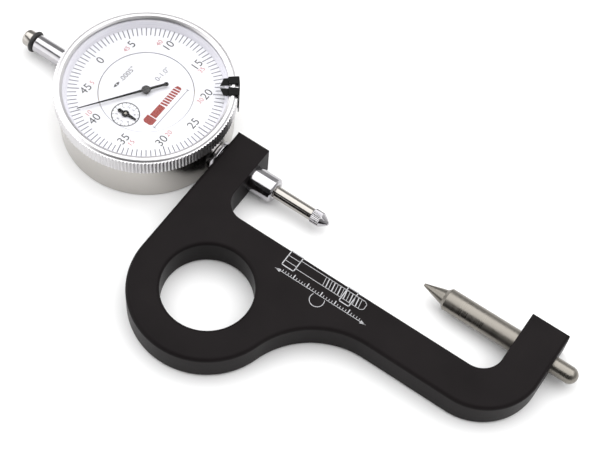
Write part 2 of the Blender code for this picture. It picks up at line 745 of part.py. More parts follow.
def build_hairspring():
    """Flat spiral that keeps the gear train loaded one way, and the post that holds its end."""
    steps = 16
    inner, outer = HAIRSPRING_RADII
    path = []
    for i in range(HAIRSPRING_TURNS * steps + 1):
        angle = 2 * math.pi * i / steps
        radius = inner + (outer - inner) * i / (HAIRSPRING_TURNS * steps)
        path.append((TAKE_UP_ARBOR[0] + radius * math.cos(angle),
                     TAKE_UP_ARBOR[1] + radius * math.sin(angle), HAIRSPRING_Z))
    wire("hairspring", path, HAIRSPRING_WIRE, "satin steel")
    turned("hairspring_post", [
        (0, FRONT_BRIDGE_Z[1] - 0.1),
        (0.3, FRONT_BRIDGE_Z[1] - 0.1),
        (0.3, FRONT_BRIDGE_Z[0] - FITTED),
        (0.6, FRONT_BRIDGE_Z[0] - FITTED),
        (0.6, 11.2),
        (0, 11.2),
    ], "brass", at=(*HAIRSPRING_POST, 0), facets=SMALL_FACETS)


# ---------------------------------------------------------------- spindle group

def rack_comb():
    """Comb that leaves rack teeth along one side of the spindle; one gap faces the pinion."""
    tip_y = RACK_LINE_Y - TOOTH_TIP * RACK_MODULE
    root_y = RACK_LINE_Y + TOOTH_ROOT * RACK_MODULE
    slope = math.tan(PRESSURE_ANGLE)
    half_gap = RACK_PITCH * (1 - TOOTH_FILL) / 2
    mouth = half_gap + (RACK_LINE_Y - tip_y) * slope
    floor = half_gap - (root_y - RACK_LINE_Y) * slope
    first = math.ceil((RACK_X[0] - RACK_ARBOR[0]) / RACK_PITCH + 0.5)
    last = math.floor((RACK_X[1] - RACK_ARBOR[0]) / RACK_PITCH - 0.5)
    outline = [(RACK_X[0], tip_y)]
    for i in range(first, last + 1):
        x = RACK_ARBOR[0] + i * RACK_PITCH
        outline += [(x - mouth, tip_y), (x - floor, root_y), (x + floor, root_y), (x + mouth, tip_y)]
    outline += [(RACK_X[1], tip_y), (RACK_X[1], -4), (RACK_X[0], -4)]
    return as_mesh(flat("rack_comb", [outline], AXIS_Z - 3, AXIS_Z + 3))


def build_spindle():
    front_bore = CONTACT_STUD_RADIUS + 0.1
    spindle = turned("spindle", [
        (0, SPINDLE_X[1] - CONTACT_STUD_LENGTH - 0.2),
        (front_bore, SPINDLE_X[1] - CONTACT_STUD_LENGTH - 0.2),
        (front_bore, SPINDLE_X[1]),
        (SPINDLE_RADIUS, SPINDLE_X[1]),
        (SPINDLE_RADIUS, SPINDLE_X[0]),
        (CAP_STUD_RADIUS, SPINDLE_X[0]),
        (CAP_STUD_RADIUS, CAP_STUD_END_X),
        (0, CAP_STUD_END_X),
    ], "satin steel", at=(0, 0, AXIS_Z), axis="x")
    combine(spindle, rack_comb())
    combine(spindle, cylinder("guide_pin_hole", GUIDE_PIN_RADIUS + FITTED, GUIDE_PIN_Y[0] - 0.1, 4.0,
                              at=(GUIDE_PIN_X, 0, AXIS_Z), axis="y"))


def build_cap_and_bumper():
    """Knob on the spindle's far end, and the rubber ring that lands on the barrel."""
    stud_hole = CAP_STUD_RADIUS + FITTED
    turned("lifting_cap", [
        (0, CAP_STUD_END_X - 0.1),
        (stud_hole, CAP_STUD_END_X - 0.1),
        (stud_hole, CAP_X[1]),
        (CAP_NECK_RADIUS, CAP_X[1]),
        (CAP_NECK_RADIUS, CAP_HEAD_X),
        (CAP_HEAD_RADIUS, CAP_HEAD_X),
        (CAP_HEAD_RADIUS, CAP_X[0] + 0.6),
        (CAP_HEAD_RADIUS - 0.6, CAP_X[0]),
        (0, CAP_X[0]),
    ], "satin steel", at=(0, 0, AXIS_Z), axis="x")
    bpy.ops.mesh.primitive_torus_add(
        major_radius=(CAP_NECK_RADIUS + FITTED + BUMPER_WIRE) * MM,
        minor_radius=BUMPER_WIRE * MM,
        major_segments=ROD_FACETS,
        minor_segments=8,
    )
    bumper = bpy.context.active_object
    shade(bumper)
    place(bumper, ((BARREL_X[0] + CAP_HEAD_X) / 2, 0, AXIS_Z), "x")
    dress(bumper, "bumper_ring", "rubber")


def build_contact_point():
    """Screwed-in point with a ridged collar and a rounded cone."""
    base = SPINDLE_X[1] + FITTED
    core = CONTACT_RADIUS - 0.25
    contact = turned("contact_point", [
        (0, CONTACT_TIP_X),
        (0.62, CONTACT_TIP_X - 0.2),
        (1.0, CONTACT_TIP_X - 0.7),
        (core, CONTACT_KNURL_X[1] + 0.3),
        (core, base),
        (CONTACT_STUD_RADIUS, base),
        (CONTACT_STUD_RADIUS, base - CONTACT_STUD_LENGTH),
        (0, base - CONTACT_STUD_LENGTH),
    ], "bright chrome", at=(0, 0, AXIS_Z), axis="x")
    ridges = flat("contact_ridges", [knurl(CONTACT_RADIUS, CONTACT_RIDGES, 0.2)], *CONTACT_KNURL_X,
                  at=(0, 0, AXIS_Z), turn=TURN["x"])
    combine(contact, as_mesh(ridges), "UNION")


def build_guide():
    """Pin that stops the spindle turning, the brass channel it slides in, and the return spring."""
    cylinder("guide_pin", GUIDE_PIN_RADIUS, *GUIDE_PIN_Y, "satin steel",
             at=(GUIDE_PIN_X, 0, AXIS_Z), axis="y")
    slot_low = AXIS_Z - GUIDE_PIN_RADIUS - RUNNING
    slot_high = AXIS_Z + GUIDE_PIN_RADIUS + RUNNING
    top = MAIN_PLATE_Z[0] - FITTED
    channel = [(5.0, 3.9), (8.4, 3.9), (8.4, top), (5.0, top),
               (5.0, slot_high), (7.5, slot_high), (7.5, slot_low), (5.0, slot_low)]
    flat("guide_track", [channel], *GUIDE_TRACK_X, "brass", turn=(math.pi / 2, 0, math.pi / 2))
    cylinder("spring_post", 0.5, 4.0, top, "satin steel", at=(SPRING_POST_X, SPRING_Y, 0))

    start = GUIDE_PIN_X + GUIDE_PIN_RADIUS + 0.25
    end = SPRING_POST_X - 0.8
    steps = 8
    path = []
    for i in range(SPRING_TURNS * steps + 1):
        angle = 2 * math.pi * i / steps
        path.append((start + (end - start) * i / (SPRING_TURNS * steps),
                     SPRING_Y + SPRING_RADIUS * math.cos(angle),
                     AXIS_Z + SPRING_RADIUS * math.sin(angle)))
    wire("return_spring", path, SPRING_WIRE, "satin steel")


# ---------------------------------------------------------------- dial and bezel

def build_dial():
    """Outer scale that turns with the bezel, and the fixed disc inside it."""
    inner, outer = DIAL_SPLIT_RADIUS + 0.1, BEZEL_SEAT - 0.1
    turned("dial_ring", [
        (inner, DIAL_RING_Z[1]),
        (outer, DIAL_RING_Z[1]),
        (outer, DIAL_RING_Z[0]),
        (inner, DIAL_RING_Z[0]),
    ], "white enamel", facets=BIG_FACETS, ring=True)
    disc = circle(DIAL_SPLIT_RADIUS - 0.1, BIG_FACETS)
    flat("dial_plate", [disc, hole((0, 0), 0.9), hole(TAKE_UP_ARBOR, 0.7)], *DIAL_PLATE_Z, "white enamel")


def build_pointers():
    outline = pointer_outline(POINTER_LENGTH, 0.12, 0.42, 1.45, 7.3, 0.75)
    flat("long_pointer", [outline, hole((0, 0), 0.9)], *POINTER_Z, "black paint",
         turn=(0, 0, math.radians(POINTER_ANGLE)))
    bore = 0.5 + FITTED
    bottom, top = POINTER_HUB_Z
    turned("pointer_hub", [
        (0, top),
        (1.3, top),
        (1.45, POINTER_Z[1] + FITTED),
        (0.85, POINTER_Z[1] + FITTED),
        (0.85, bottom),
        (bore, bottom),
        (bore, top - 0.25),
        (0, top - 0.25),
    ], "black oxide", facets=SMALL_FACETS)
    outline = pointer_outline(3.9, 0.25, 0.5, 1.2, 2.8, 0.65)
    flat("small_pointer", [outline, hole((0, 0), 0.4 + FITTED)], *SMALL_POINTER_Z, "black paint",
         at=(*TAKE_UP_ARBOR, 0), turn=(0, 0, math.radians(SMALL_POINTER_ANGLE)))


def build_bezel():
    """Ridged band joined to a turned ring that holds the glass, spacer and outer dial."""
    bottom, top = BEZEL_Z
    inner = CASE_RIM_RADIUS + 0.1
    bezel = turned("bezel", [
        (BEZEL_CROWN[0], top),
        (BEZEL_CROWN[1], top),
        (BEZEL_RADIUS - 0.6, KNURL_Z[1] + 0.1),
        (BEZEL_RADIUS - 0.6, bottom),
        (inner, bottom),
        (inner, DIAL_RING_Z[0] - FITTED),
        (BEZEL_SEAT, DIAL_RING_Z[0] - FITTED),
        (BEZEL_SEAT, GLASS_Z[1] + FITTED),
        (BEZEL_LIP, GLASS_Z[1] + 0.15),
    ], "bright chrome", facets=BIG_FACETS, ring=True)
    outlines = [knurl(BEZEL_RADIUS, BEZEL_TEETH, BEZEL_TOOTH_DEPTH), circle(BEZEL_RADIUS - 1.0, BIG_FACETS)]
    combine(bezel, as_mesh(flat("bezel_ridges", outlines, *KNURL_Z)), "UNION")


def build_glass():
    cylinder("crystal", BEZEL_SEAT - 0.1, *GLASS_Z, "clear glass", facets=BIG_FACETS)
    outer = BEZEL_SEAT - 0.1
    turned("dial_spacer", [
        (SPACER_BORE[1], GLASS_Z[0] - FITTED),
        (outer, GLASS_Z[0] - FITTED),
        (outer, DIAL_RING_Z[1] + FITTED),
        (SPACER_BORE[0], DIAL_RING_Z[1] + FITTED),
    ], "grey spacer", facets=BIG_FACETS, ring=True)


def clip_fold():
    """Side view of a clip, as (radius, height): over the glass and the bezel's top, then down its side."""
    inside = BEZEL_RADIUS + 0.1
    outside = inside + CLIP_SHEET
    hook = BEZEL_RADIUS - 0.6
    over_glass, over_bezel, under_bezel = GLASS_Z[1] + 0.1, BEZEL_Z[1] + 0.1, BEZEL_Z[0] - 0.1
    return [
        (CLIP_TIP_RADIUS, over_glass),
        (BEZEL_LIP - 0.3, over_glass),
        (BEZEL_LIP + 0.2, over_bezel),
        (inside, over_bezel),
        (inside, under_bezel),
        (hook, under_bezel),
        (hook, under_bezel - CLIP_SHEET),
        (inside, under_bezel - CLIP_SHEET),
        (inside, CLIP_FOOT_Z),
        (outside, CLIP_FOOT_Z),
        (outside, over_bezel + CLIP_SHEET),
        (BEZEL_LIP + 0.05, over_bezel + CLIP_SHEET),
        (BEZEL_LIP - 0.45, over_glass + CLIP_SHEET),
        (CLIP_TIP_RADIUS, over_glass + CLIP_SHEET),
    ]


def build_clips():
    """Two spring clips folded over the bezel; the straight edges that mark the limits face each other."""
    half = CLIP_WIDTH / 2
    for name, angle, gap_side in (("limit_clip_far", CLIP_ANGLES[0], -1),
                                  ("limit_clip_near", CLIP_ANGLES[1], 1)):
        turn = math.radians(angle)
        clip = as_mesh(flat(name, [clip_fold()], -half, half, "black paint", turn=(math.pi / 2, 0, turn)))
        corner = [
            (CLIP_TIP_RADIUS - 0.2 * CLIP_TAPER, gap_side * half * 1.4),
            (CLIP_TIP_RADIUS + 1.2 * CLIP_TAPER, -gap_side * half * 1.4),
            (CLIP_TIP_RADIUS - 2, -gap_side * half * 1.4),
        ]
        taper = flat(f"{name}_taper", [corner], BEZEL_Z[0], BEZEL_Z[1] + 2, turn=(0, 0, turn))
        combine(clip, as_mesh(taper))


build_frame()
build_clamp_screws()
build_anvil()
build_case()
build_cover()
build_case_screws()
build_tubes()
build_plates()
build_pillars()
build_gear_train()
build_hairspring()
build_spindle()
build_cap_and_bumper()
build_contact_point()
build_guide()
build_dial()
build_pointers()
build_bezel()
build_glass()
build_clips()
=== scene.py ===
"""Studio picture of a rod-bolt stretch gauge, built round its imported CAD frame.

X runs along the spindle from the dial to the anvil and Z is up from the table. Sizes below are
millimetres; the mesh builders turn them into metres.
"""
import math

import bmesh
import bpy
from mathutils import Matrix, Vector


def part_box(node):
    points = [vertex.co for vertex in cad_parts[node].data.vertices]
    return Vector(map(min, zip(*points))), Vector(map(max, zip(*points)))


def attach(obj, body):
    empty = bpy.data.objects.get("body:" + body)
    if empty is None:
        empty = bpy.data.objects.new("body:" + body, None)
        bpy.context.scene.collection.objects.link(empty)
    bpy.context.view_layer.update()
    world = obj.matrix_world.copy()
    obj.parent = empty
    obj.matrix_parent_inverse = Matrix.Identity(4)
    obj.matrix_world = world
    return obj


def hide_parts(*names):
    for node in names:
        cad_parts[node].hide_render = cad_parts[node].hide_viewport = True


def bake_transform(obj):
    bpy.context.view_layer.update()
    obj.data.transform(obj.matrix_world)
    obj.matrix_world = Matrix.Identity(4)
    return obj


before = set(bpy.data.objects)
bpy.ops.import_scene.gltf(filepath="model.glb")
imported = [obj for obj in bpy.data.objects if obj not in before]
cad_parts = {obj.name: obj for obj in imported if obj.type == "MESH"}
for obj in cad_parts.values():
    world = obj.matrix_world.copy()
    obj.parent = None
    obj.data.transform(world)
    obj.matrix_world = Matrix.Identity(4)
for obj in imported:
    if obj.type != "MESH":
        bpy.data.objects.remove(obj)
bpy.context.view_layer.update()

MM = 0.001


def span(node):
    """Lowest and highest corner of a CAD node at rest."""
    low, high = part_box(node)
    return low / MM, high / MM


FRAME_LOW, FRAME_HIGH = span("gauge_frame")
FRAME_TOP = FRAME_HIGH.z
BEZEL_LOW, BEZEL_HIGH = span("bezel")
BEZEL_RADIUS = BEZEL_HIGH.x
BEZEL_TOP = BEZEL_HIGH.z
CASE_RADIUS = span("indicator_case")[1].x
GLASS_LOW, GLASS_HIGH = span("crystal")
DIAL_RING_LOW, DIAL_RING_TOP = (corner.z for corner in span("dial_ring"))
DIAL_PLATE_TOP = span("dial_plate")[1].z
STEM_LOW, STEM_HIGH = span("stem")
AXIS_Z = (STEM_LOW.z + STEM_HIGH.z) / 2
BARREL_LOW, BARREL_HIGH = span("top_barrel")
CONTACT_LOW, CONTACT_HIGH = span("contact_point")
CAP_LOW, CAP_HIGH = span("lifting_cap")
ANVIL_LOW, ANVIL_HIGH = span("anvil")
BUMPER_LOW, BUMPER_HIGH = span("bumper_ring")

# Hand frame outline
DIAL_LEG_X = (FRAME_LOW.x, 41.4)
ANVIL_LEG_X = (136.2, FRAME_HIGH.x)
LEG_END_Y = FRAME_HIGH.y
BAR_Y = (-29.3, -17.0)
RING_RADIUS = 24.0
RING_CENTRE = (DIAL_LEG_X[0] + RING_RADIUS, FRAME_LOW.y + RING_RADIUS)
RING_HOLE = 14.05
RING_BLEND = 26.4
THROAT_FILLET = 6.7
ANVIL_FILLET = 7.0
OUTER_CORNER = 18.9
EDGE_ROUND = 1.4
HOLE_ROUND = 1.3
STEM_RADIUS = 4.1
SPINDLE_BORE = 2.08
CLAMP_HOLE = 2.05
CLAMP_X = (35.45, 140.0)
CLAMP_DEPTH_Y = 1.0
BORE_PLAY = 0.06
BORE_OVERLAP = 0.3
CUT_PAST = 2
RING_CUT_PAST = 1
CRISP_SHARE = 0.12

# Anvil
ANVIL_RADIUS = 3.57
ANVIL_TAIL = 2.7
ANVIL_TIP_RADIUS = 0.45
ANVIL_CONE = (2.5, 111.35)
ANVIL_ROD_X = 112.35
ANVIL_SHOULDER_X = 143.8
ANVIL_TIP_DEPTH = 0.15

# Case, stem and spindle ends
CASE_INNER = 25.6
COVER_SEAT = (26.15, 1.4)
CASE_STEP = (26.95, 13.6)
CASE_BORE_X = (20, 34)
CASE_BORE_PLAY = 0.05
STEM_COLLAR_X = (27.8, 29.3)
STEM_COLLAR_RADIUS = 5.2
STEM_CHAMFER = 0.6
STEM_MOUTH = 0.45
BARREL_CHAMFER = 0.3
CAP_SOCKET = (1.15, -48.0)
CAP_NECK_RADIUS = 2.2
CAP_HEAD = (2.8, -45.9)
CAP_EDGE = (2.15, 0.7)
CONTACT_SHANK = 1.0
CONTACT_BASE_X = 63.5
CONTACT_RIDGES_X = (63.8, 66.6)
CONTACT_RIDGES = 30
CONTACT_NOSE_X = (66.75, 68.3)
CONTACT_NOSE_RADII = (1.3, 0.55)
RIDGE_DEPTH = 0.16

# Bezel
COIN_TEETH = 160
COIN_TOOTH = 0.36
BEZEL_INNER = 27.05
BEZEL_GLASS_SEAT = 26.2
BEZEL_LIP = 25.7
BEZEL_SKIRT = (28.1, 28.2)
BEZEL_SHOULDER = 28.0
BEZEL_CROWN = (27.45, 26.5)
SPACER_WALL = (24.4, 25.5, 26.1)  # inside at its foot, inside at its top, outside

# Dial
DIVISIONS = 100
NUMBERED = 10
DIAL_TURN = math.radians(-2.46)
TEXT_TURN = math.pi / 2 + DIAL_TURN
TICK_OUTER = 24.25
TICK_LONG = 20.9
TICK_SHORT = 21.7
TICK_EVEN_EXTRA = 0.25
TICK_WIDTHS = (0.34, 0.30)
NUMBER_RADIUS = 18.7
NUMBER_HEIGHTS = (2.7, 1.6)
# Painted shade: a thin pale grey band just outside the turning ring's inner edge, along its seam with the
# fixed disc
DIAL_SEAM_SHADE = (15.04, 15.16)
COUNTER_CENTRE = (0.0, -10.45)
COUNTER_CIRCLE = (4.15, 4.45)
COUNTER_TICKS = (3.85, 3.55, 4.3)  # where short ticks start, where long ones start, where all end
COUNTER_TICK_WIDTH = 0.16
COUNTER_DIGITS = (2.75, 0.95)  # distance from the centre, height
NOTE_HEIGHT = 1.8
INK = 0.02
INK_SUNK = 0.005
TICK_SUNK = 0.01

# Shading angle in degrees, the millimetres that count as touching, and what counts as nothing
SHARP_ANGLE = 32
NEAR = 0.05
TINY = 1e-6


# ---------------------------------------------------------------- node helpers

def new_material(name, colour, metallic, roughness, **sockets):
    """Principled material; further inputs are given with underscores for spaces."""
    material = bpy.data.materials.new(name)
    material.use_nodes = True
    shader = material.node_tree.nodes["Principled BSDF"]
    shader.inputs["Base Color"].default_value = (*colour, 1)
    shader.inputs["Metallic"].default_value = metallic
    shader.inputs["Roughness"].default_value = roughness
    for socket, value in sockets.items():
        shader.inputs[socket.replace("_", " ")].default_value = value
    return material


def add(material, kind, **settings):
    """Add a shader node with the given settings."""
    node = material.node_tree.nodes.new(kind)
    for key, value in settings.items():
        setattr(node, key, value)
    return node


def link(material, source, target):
    material.node_tree.links.new(source, target)


def shader_of(material):
    return material.node_tree.nodes["Principled BSDF"]


def drive(material, socket, value):
    """Feed an input of the material's shader from another node."""
    link(material, value, shader_of(material).inputs[socket])


def place_in_piece(material):
    """Position on the piece itself, in metres, so that a pattern moves with it."""
    return add(material, "ShaderNodeTexCoord").outputs["Object"]


def noise(material, scale, detail=3.0, stretch=None):
    """Noise whose scale is in features per metre; stretch squeezes it along the axes."""
    node = add(material, "ShaderNodeTexNoise")
    node.inputs["Scale"].default_value = scale
    node.inputs["Detail"].default_value = detail
    place = place_in_piece(material)
    if stretch:
        mapping = add(material, "ShaderNodeMapping")
        mapping.inputs["Scale"].default_value = stretch
        link(material, place, mapping.inputs["Vector"])
        place = mapping.outputs["Vector"]
    link(material, place, node.inputs["Vector"])
    return node.outputs["Fac"]


def spread(material, value, low, high, start=0.3, end=0.7):
    """Map a noise value to a range."""
    node = add(material, "ShaderNodeMapRange")
    node.inputs["From Min"].default_value = start
    node.inputs["From Max"].default_value = end
    node.inputs["To Min"].default_value = low
    node.inputs["To Max"].default_value = high
    link(material, value, node.inputs["Value"])
    return node.outputs["Result"]


def mix_colour(material, amount, first, second):
    """Blend two colours, either of which may be another node's output."""
    node = add(material, "ShaderNodeMix", data_type="RGBA")
    link(material, amount, node.inputs[0])
    for socket, colour in ((node.inputs[6], first), (node.inputs[7], second)):
        if isinstance(colour, tuple):
            socket.default_value = (*colour, 1)
        else:
            link(material, colour, socket)
    return node.outputs[2]


def vary(material, pattern, first, second, rough=None):
    """Let a pattern blend two base colours and, if a range is given, sweep the roughness."""
    drive(material, "Base Color", mix_colour(material, spread(material, pattern, 0, 1), first, second))
    if rough:
        drive(material, "Roughness", spread(material, pattern, *rough))


def emboss(material, height, depth, strength):
    """Bump the surface by a height of depth metres."""
    node = add(material, "ShaderNodeBump")
    node.inputs["Strength"].default_value = strength
    node.inputs["Distance"].default_value = depth
    link(material, height, node.inputs["Height"])
    drive(material, "Normal", node.outputs["Normal"])


def edge_mask(material, radius):
    """1 on sharp edges and 0 on open surfaces, from how a rounded normal leans."""
    bevel = add(material, "ShaderNodeBevel", samples=4)
    bevel.inputs["Radius"].default_value = radius
    geometry = add(material, "ShaderNodeNewGeometry")
    dot = add(material, "ShaderNodeVectorMath", operation="DOT_PRODUCT")
    link(material, bevel.outputs["Normal"], dot.inputs[0])
    link(material, geometry.outputs["Normal"], dot.inputs[1])
    return spread(material, dot.outputs["Value"], 1.0, 0.0, 0.8, 0.99)


# ---------------------------------------------------------------- materials

def anodised_black():
    """Satin black anodising with a fine blasted grain and slightly worn edges."""
    material = new_material("anodised_black", (0.010, 0.0088, 0.0093), 0.0, 0.36, IOR=1.12)
    cloud = spread(material, noise(material, 60, 4), 0, 1)
    grain = noise(material, 3500, 2)
    base = mix_colour(material, cloud, (0.0088, 0.0073, 0.0077), (0.0122, 0.0102, 0.0106))
    worn = spread(material, edge_mask(material, 0.00025), 0, 0.35, 0, 1)
    drive(material, "Base Color", mix_colour(material, worn, base, (0.04, 0.037, 0.037)))
    drive(material, "Roughness", spread(material, grain, 0.31, 0.41))
    emboss(material, grain, 0.00001, 0.5)
    return material


def turned_metal(name, colour, roughness, axis, groove, groove_scale):
    """Metal turned on a lathe: fine rings round the axis, with slow changes of tone."""
    material = new_material(name, colour, 1.0, roughness)
    squeeze = {"x": (1.0, 0.02, 0.02), "z": (0.02, 0.02, 1.0)}[axis]
    rings = noise(material, groove_scale, 3, squeeze)
    cloud = noise(material, 90, 3)
    vary(material, rings, tuple(c * 0.93 for c in colour), colour)
    smear = add(material, "ShaderNodeMath", operation="MULTIPLY")
    link(material, spread(material, cloud, roughness * 0.85, roughness * 1.15), smear.inputs[0])
    link(material, spread(material, rings, 0.8, 1.25), smear.inputs[1])
    drive(material, "Roughness", smear.outputs["Value"])
    emboss(material, rings, groove, 0.5)
    return material


def polished_chrome():
    """Smooth plating with faint smears."""
    material = new_material("polished_chrome", (0.44, 0.43, 0.45), 1.0, 0.12)
    smear = noise(material, 400, 4)
    vary(material, smear, (0.41, 0.40, 0.425), (0.47, 0.46, 0.47), (0.09, 0.16))
    emboss(material, noise(material, 1500, 2), 0.000004, 0.4)
    return material


def dial_enamel():
    """White printed dial with a faint paper-like tooth."""
    material = new_material("dial_enamel", (0.71, 0.71, 0.75), 0.0, 0.5, Specular_IOR_Level=0.35)
    tooth = noise(material, 2500, 3)
    vary(material, noise(material, 120, 2), (0.695, 0.695, 0.735), (0.73, 0.73, 0.76))
    drive(material, "Roughness", spread(material, tooth, 0.42, 0.58))
    emboss(material, tooth, 0.000004, 0.4)
    return material


def ink(name, colour):
    """Printing ink that covers a little unevenly."""
    material = new_material(name, colour, 0.0, 0.5)
    thin = tuple(min(1, c * 1.25 + 0.015) for c in colour)
    vary(material, noise(material, 3000, 3), colour, thin, (0.425, 0.575))
    return material


def black_paint():
    """Thick black paint on spring steel, rubbed on its edges."""
    material = new_material("black_paint", (0.006, 0.006, 0.006), 0.0, 0.35, Specular_IOR_Level=0.08)
    peel = noise(material, 1800, 2)
    worn = spread(material, edge_mask(material, 0.0001), 0, 0.4, 0, 1)
    base = mix_colour(material, worn, (0.006, 0.006, 0.006), (0.04, 0.038, 0.036))
    drive(material, "Base Color", base)
    drive(material, "Roughness", spread(material, peel, 0.28, 0.42))
    emboss(material, peel, 0.00002, 0.5)
    return material


def black_oxide():
    """Mottled black finish on small steel pieces."""
    material = new_material("black_oxide", (0.03, 0.03, 0.032), 0.7, 0.38)
    mottle = noise(material, 1600, 4)
    vary(material, mottle, (0.022, 0.022, 0.025), (0.05, 0.048, 0.046), (0.3, 0.48))
    emboss(material, mottle, 0.00001, 0.4)
    return material


def brushed_brass():
    """Brass with fine lines along X."""
    material = new_material("brushed_brass", (0.75, 0.55, 0.25), 1.0, 0.3)
    lines = noise(material, 4000, 3, (0.03, 1.0, 1.0))
    vary(material, lines, (0.66, 0.47, 0.20), (0.80, 0.61, 0.30), (0.24, 0.38))
    emboss(material, lines, 0.000006, 0.4)
    return material


def rubber():
    """Dull black rubber with a little dust."""
    material = new_material("rubber", (0.012, 0.012, 0.012), 0.0, 0.55)
    dust = noise(material, 2200, 4)
    vary(material, dust, (0.010, 0.010, 0.010), (0.022, 0.022, 0.021), (0.48, 0.66))
    emboss(material, dust, 0.00002, 0.5)
    return material


def clear_glass():
    """Thin flat crystal: clear, with the weak mirror of its outer side laid over it."""
    material = new_material("clear_glass", (1, 1, 1), 0.0, 0.03)
    tree = material.node_tree
    clear = add(material, "ShaderNodeBsdfTransparent")
    mirror = add(material, "ShaderNodeBsdfGlossy")
    mirror.inputs["Roughness"].default_value = 0.02
    weak = add(material, "ShaderNodeFresnel")
    weak.inputs["IOR"].default_value = 1.25
    outside = add(material, "ShaderNodeMath", operation="SUBTRACT")
    outside.inputs[0].default_value = 1.0
    link(material, add(material, "ShaderNodeNewGeometry").outputs["Backfacing"], outside.inputs[1])
    share = add(material, "ShaderNodeMath", operation="MULTIPLY")
    link(material, weak.outputs["Fac"], share.inputs[0])
    link(material, outside.outputs["Value"], share.inputs[1])
    both = add(material, "ShaderNodeMixShader")
    link(material, share.outputs["Value"], both.inputs["Fac"])
    link(material, clear.outputs["BSDF"], both.inputs[1])
    link(material, mirror.outputs["BSDF"], both.inputs[2])
    tree.nodes.remove(shader_of(material))
    link(material, both.outputs["Shader"], tree.nodes["Material Output"].inputs["Surface"])
    return material


def spacer_grey():
    """Pale grey plastic wall between the dial and the glass."""
    material = new_material("spacer_grey", (0.74, 0.73, 0.79), 0.1, 0.45)
    rings = noise(material, 3000, 2, (0.02, 0.02, 1.0))
    vary(material, rings, (0.70, 0.69, 0.75), (0.80, 0.79, 0.84))
    return material


def engraving():
    """Bare aluminium at the bottom of a shallow engraved line."""
    material = new_material("engraving", (0.42, 0.42, 0.43), 0.3, 0.5)
    vary(material, noise(material, 3500, 3), (0.30, 0.30, 0.31), (0.58, 0.58, 0.60))
    return material


ANODISED = anodised_black()
CASE_METAL = turned_metal("case_satin", (0.50, 0.48, 0.455), 0.2, "z", 0.000004, 2600)
CHROME = polished_chrome()
STEEL = turned_metal("turned_steel", (0.235, 0.219, 0.195), 0.32, "x", 0.0000005, 3500)
SPINDLE_STEEL = turned_metal("ground_steel", (0.40, 0.38, 0.355), 0.18, "x", 0.000003, 7000)
BEZEL_METAL = turned_metal("bezel_satin", (0.66, 0.65, 0.66), 0.34, "z", 0.000002, 2200)
ENAMEL = dial_enamel()
BLACK_INK = ink("black_ink", (0.018, 0.018, 0.02))
GREY_INK = ink("grey_ink", (0.10, 0.10, 0.12))
# Pale grey used only for the painted shade along the dial ring's inner seam
SEAM_SHADE_INK = ink("painted_seam_shade", (0.56, 0.56, 0.60))
RED_INK = ink("red_ink", (0.22, 0.016, 0.010))
SOFT_RED_INK = ink("soft_red_ink", (0.38, 0.11, 0.11))
PAINT = black_paint()
OXIDE = black_oxide()
BRASS = brushed_brass()
RUBBER = rubber()
GLASS = clear_glass()
SPACER = spacer_grey()
ENGRAVED = engraving()


# ---------------------------------------------------------------- mesh builders

def piece_from(name, solid, material, sharp=SHARP_ANGLE):
    """Turn a bmesh in millimetres into a shaded object."""
    bmesh.ops.recalc_face_normals(solid, faces=solid.faces)
    bmesh.ops.scale(solid, vec=(MM, MM, MM), verts=solid.verts)
    mesh = bpy.data.meshes.new(name)
    solid.to_mesh(mesh)
    solid.free()
    mesh.materials.append(material)
    mesh.shade_smooth()
    mesh.set_sharp_from_angle(angle=math.radians(sharp))
    piece = bpy.data.objects.new(name, mesh)
    bpy.context.scene.collection.objects.link(piece)
    return piece


def arc(centre, radius, start, end, steps):
    """Points along an arc between two angles in degrees."""
    angles = [math.radians(start + (end - start) * i / steps) for i in range(steps + 1)]
    return [(centre[0] + radius * math.cos(a), centre[1] + radius * math.sin(a)) for a in angles]


def softened(points, steps=4):
    """Round each corner that carries a third number, the length of its curve's tangents."""
    longest = 0.48
    outline = []
    for i, point in enumerate(points):
        here = Vector(point[:2])
        if len(point) < 3:
            outline.append(tuple(here))
            continue
        before = Vector(points[i - 1][:2]) - here
        after = Vector(points[(i + 1) % len(points)][:2]) - here
        start = here + before.normalized() * min(point[2], longest * before.length)
        end = here + after.normalized() * min(point[2], longest * after.length)
        for step in range(steps + 1):
            t = step / steps
            outline.append(tuple(start * (1 - t) ** 2 + here * 2 * t * (1 - t) + end * t * t))
    return outline


def lathe(name, profile, material, facets, axis="z", centre=(0, 0, 0), ripple=None):
    """Turn a profile of (radius, height) points about an axis; ripple changes the radius by angle."""
    solid = bmesh.new()
    rings = []
    for radius, height in profile:
        ring = []
        for i in range(facets if radius > TINY else 1):
            angle = 2 * math.pi * i / facets
            r = radius + (ripple(radius, height, angle) if ripple else 0)
            across, up = r * math.cos(angle), r * math.sin(angle)
            point = (height, across, up) if axis == "x" else (across, up, height)
            ring.append(solid.verts.new(Vector(point) + Vector(centre)))
        rings.append(ring)
    pairs = list(zip(rings, rings[1:]))
    if len(rings[0]) > 1 and len(rings[-1]) > 1:
        pairs.append((rings[-1], rings[0]))
    for lower, upper in pairs:
        for i in range(facets):
            j = (i + 1) % facets
            loop = [lower[i % len(lower)], lower[j % len(lower)],
                    upper[j % len(upper)], upper[i % len(upper)]]
            corners = list(dict.fromkeys(loop))
            if len(corners) > 2:
                solid.faces.new(corners)
    return piece_from(name, solid, material)


def turned(name, profile, material, facets, ripple=None):
    """Turn a profile of (radius, x) points about the spindle's axis."""
    return lathe(name, profile, material, facets, "x", (0, 0, AXIS_Z), ripple)


def add_prism(solid, outline, low, high):
    """Add a flat slab with the given outline to a bmesh."""
    bottom = [solid.verts.new((x, y, low)) for x, y in outline]
    top = [solid.verts.new((x, y, high)) for x, y in outline]
    solid.faces.new(list(reversed(bottom)))
    solid.faces.new(top)
    for i in range(len(outline)):
        j = (i + 1) % len(outline)
        solid.faces.new((bottom[i], bottom[j], top[j], top[i]))


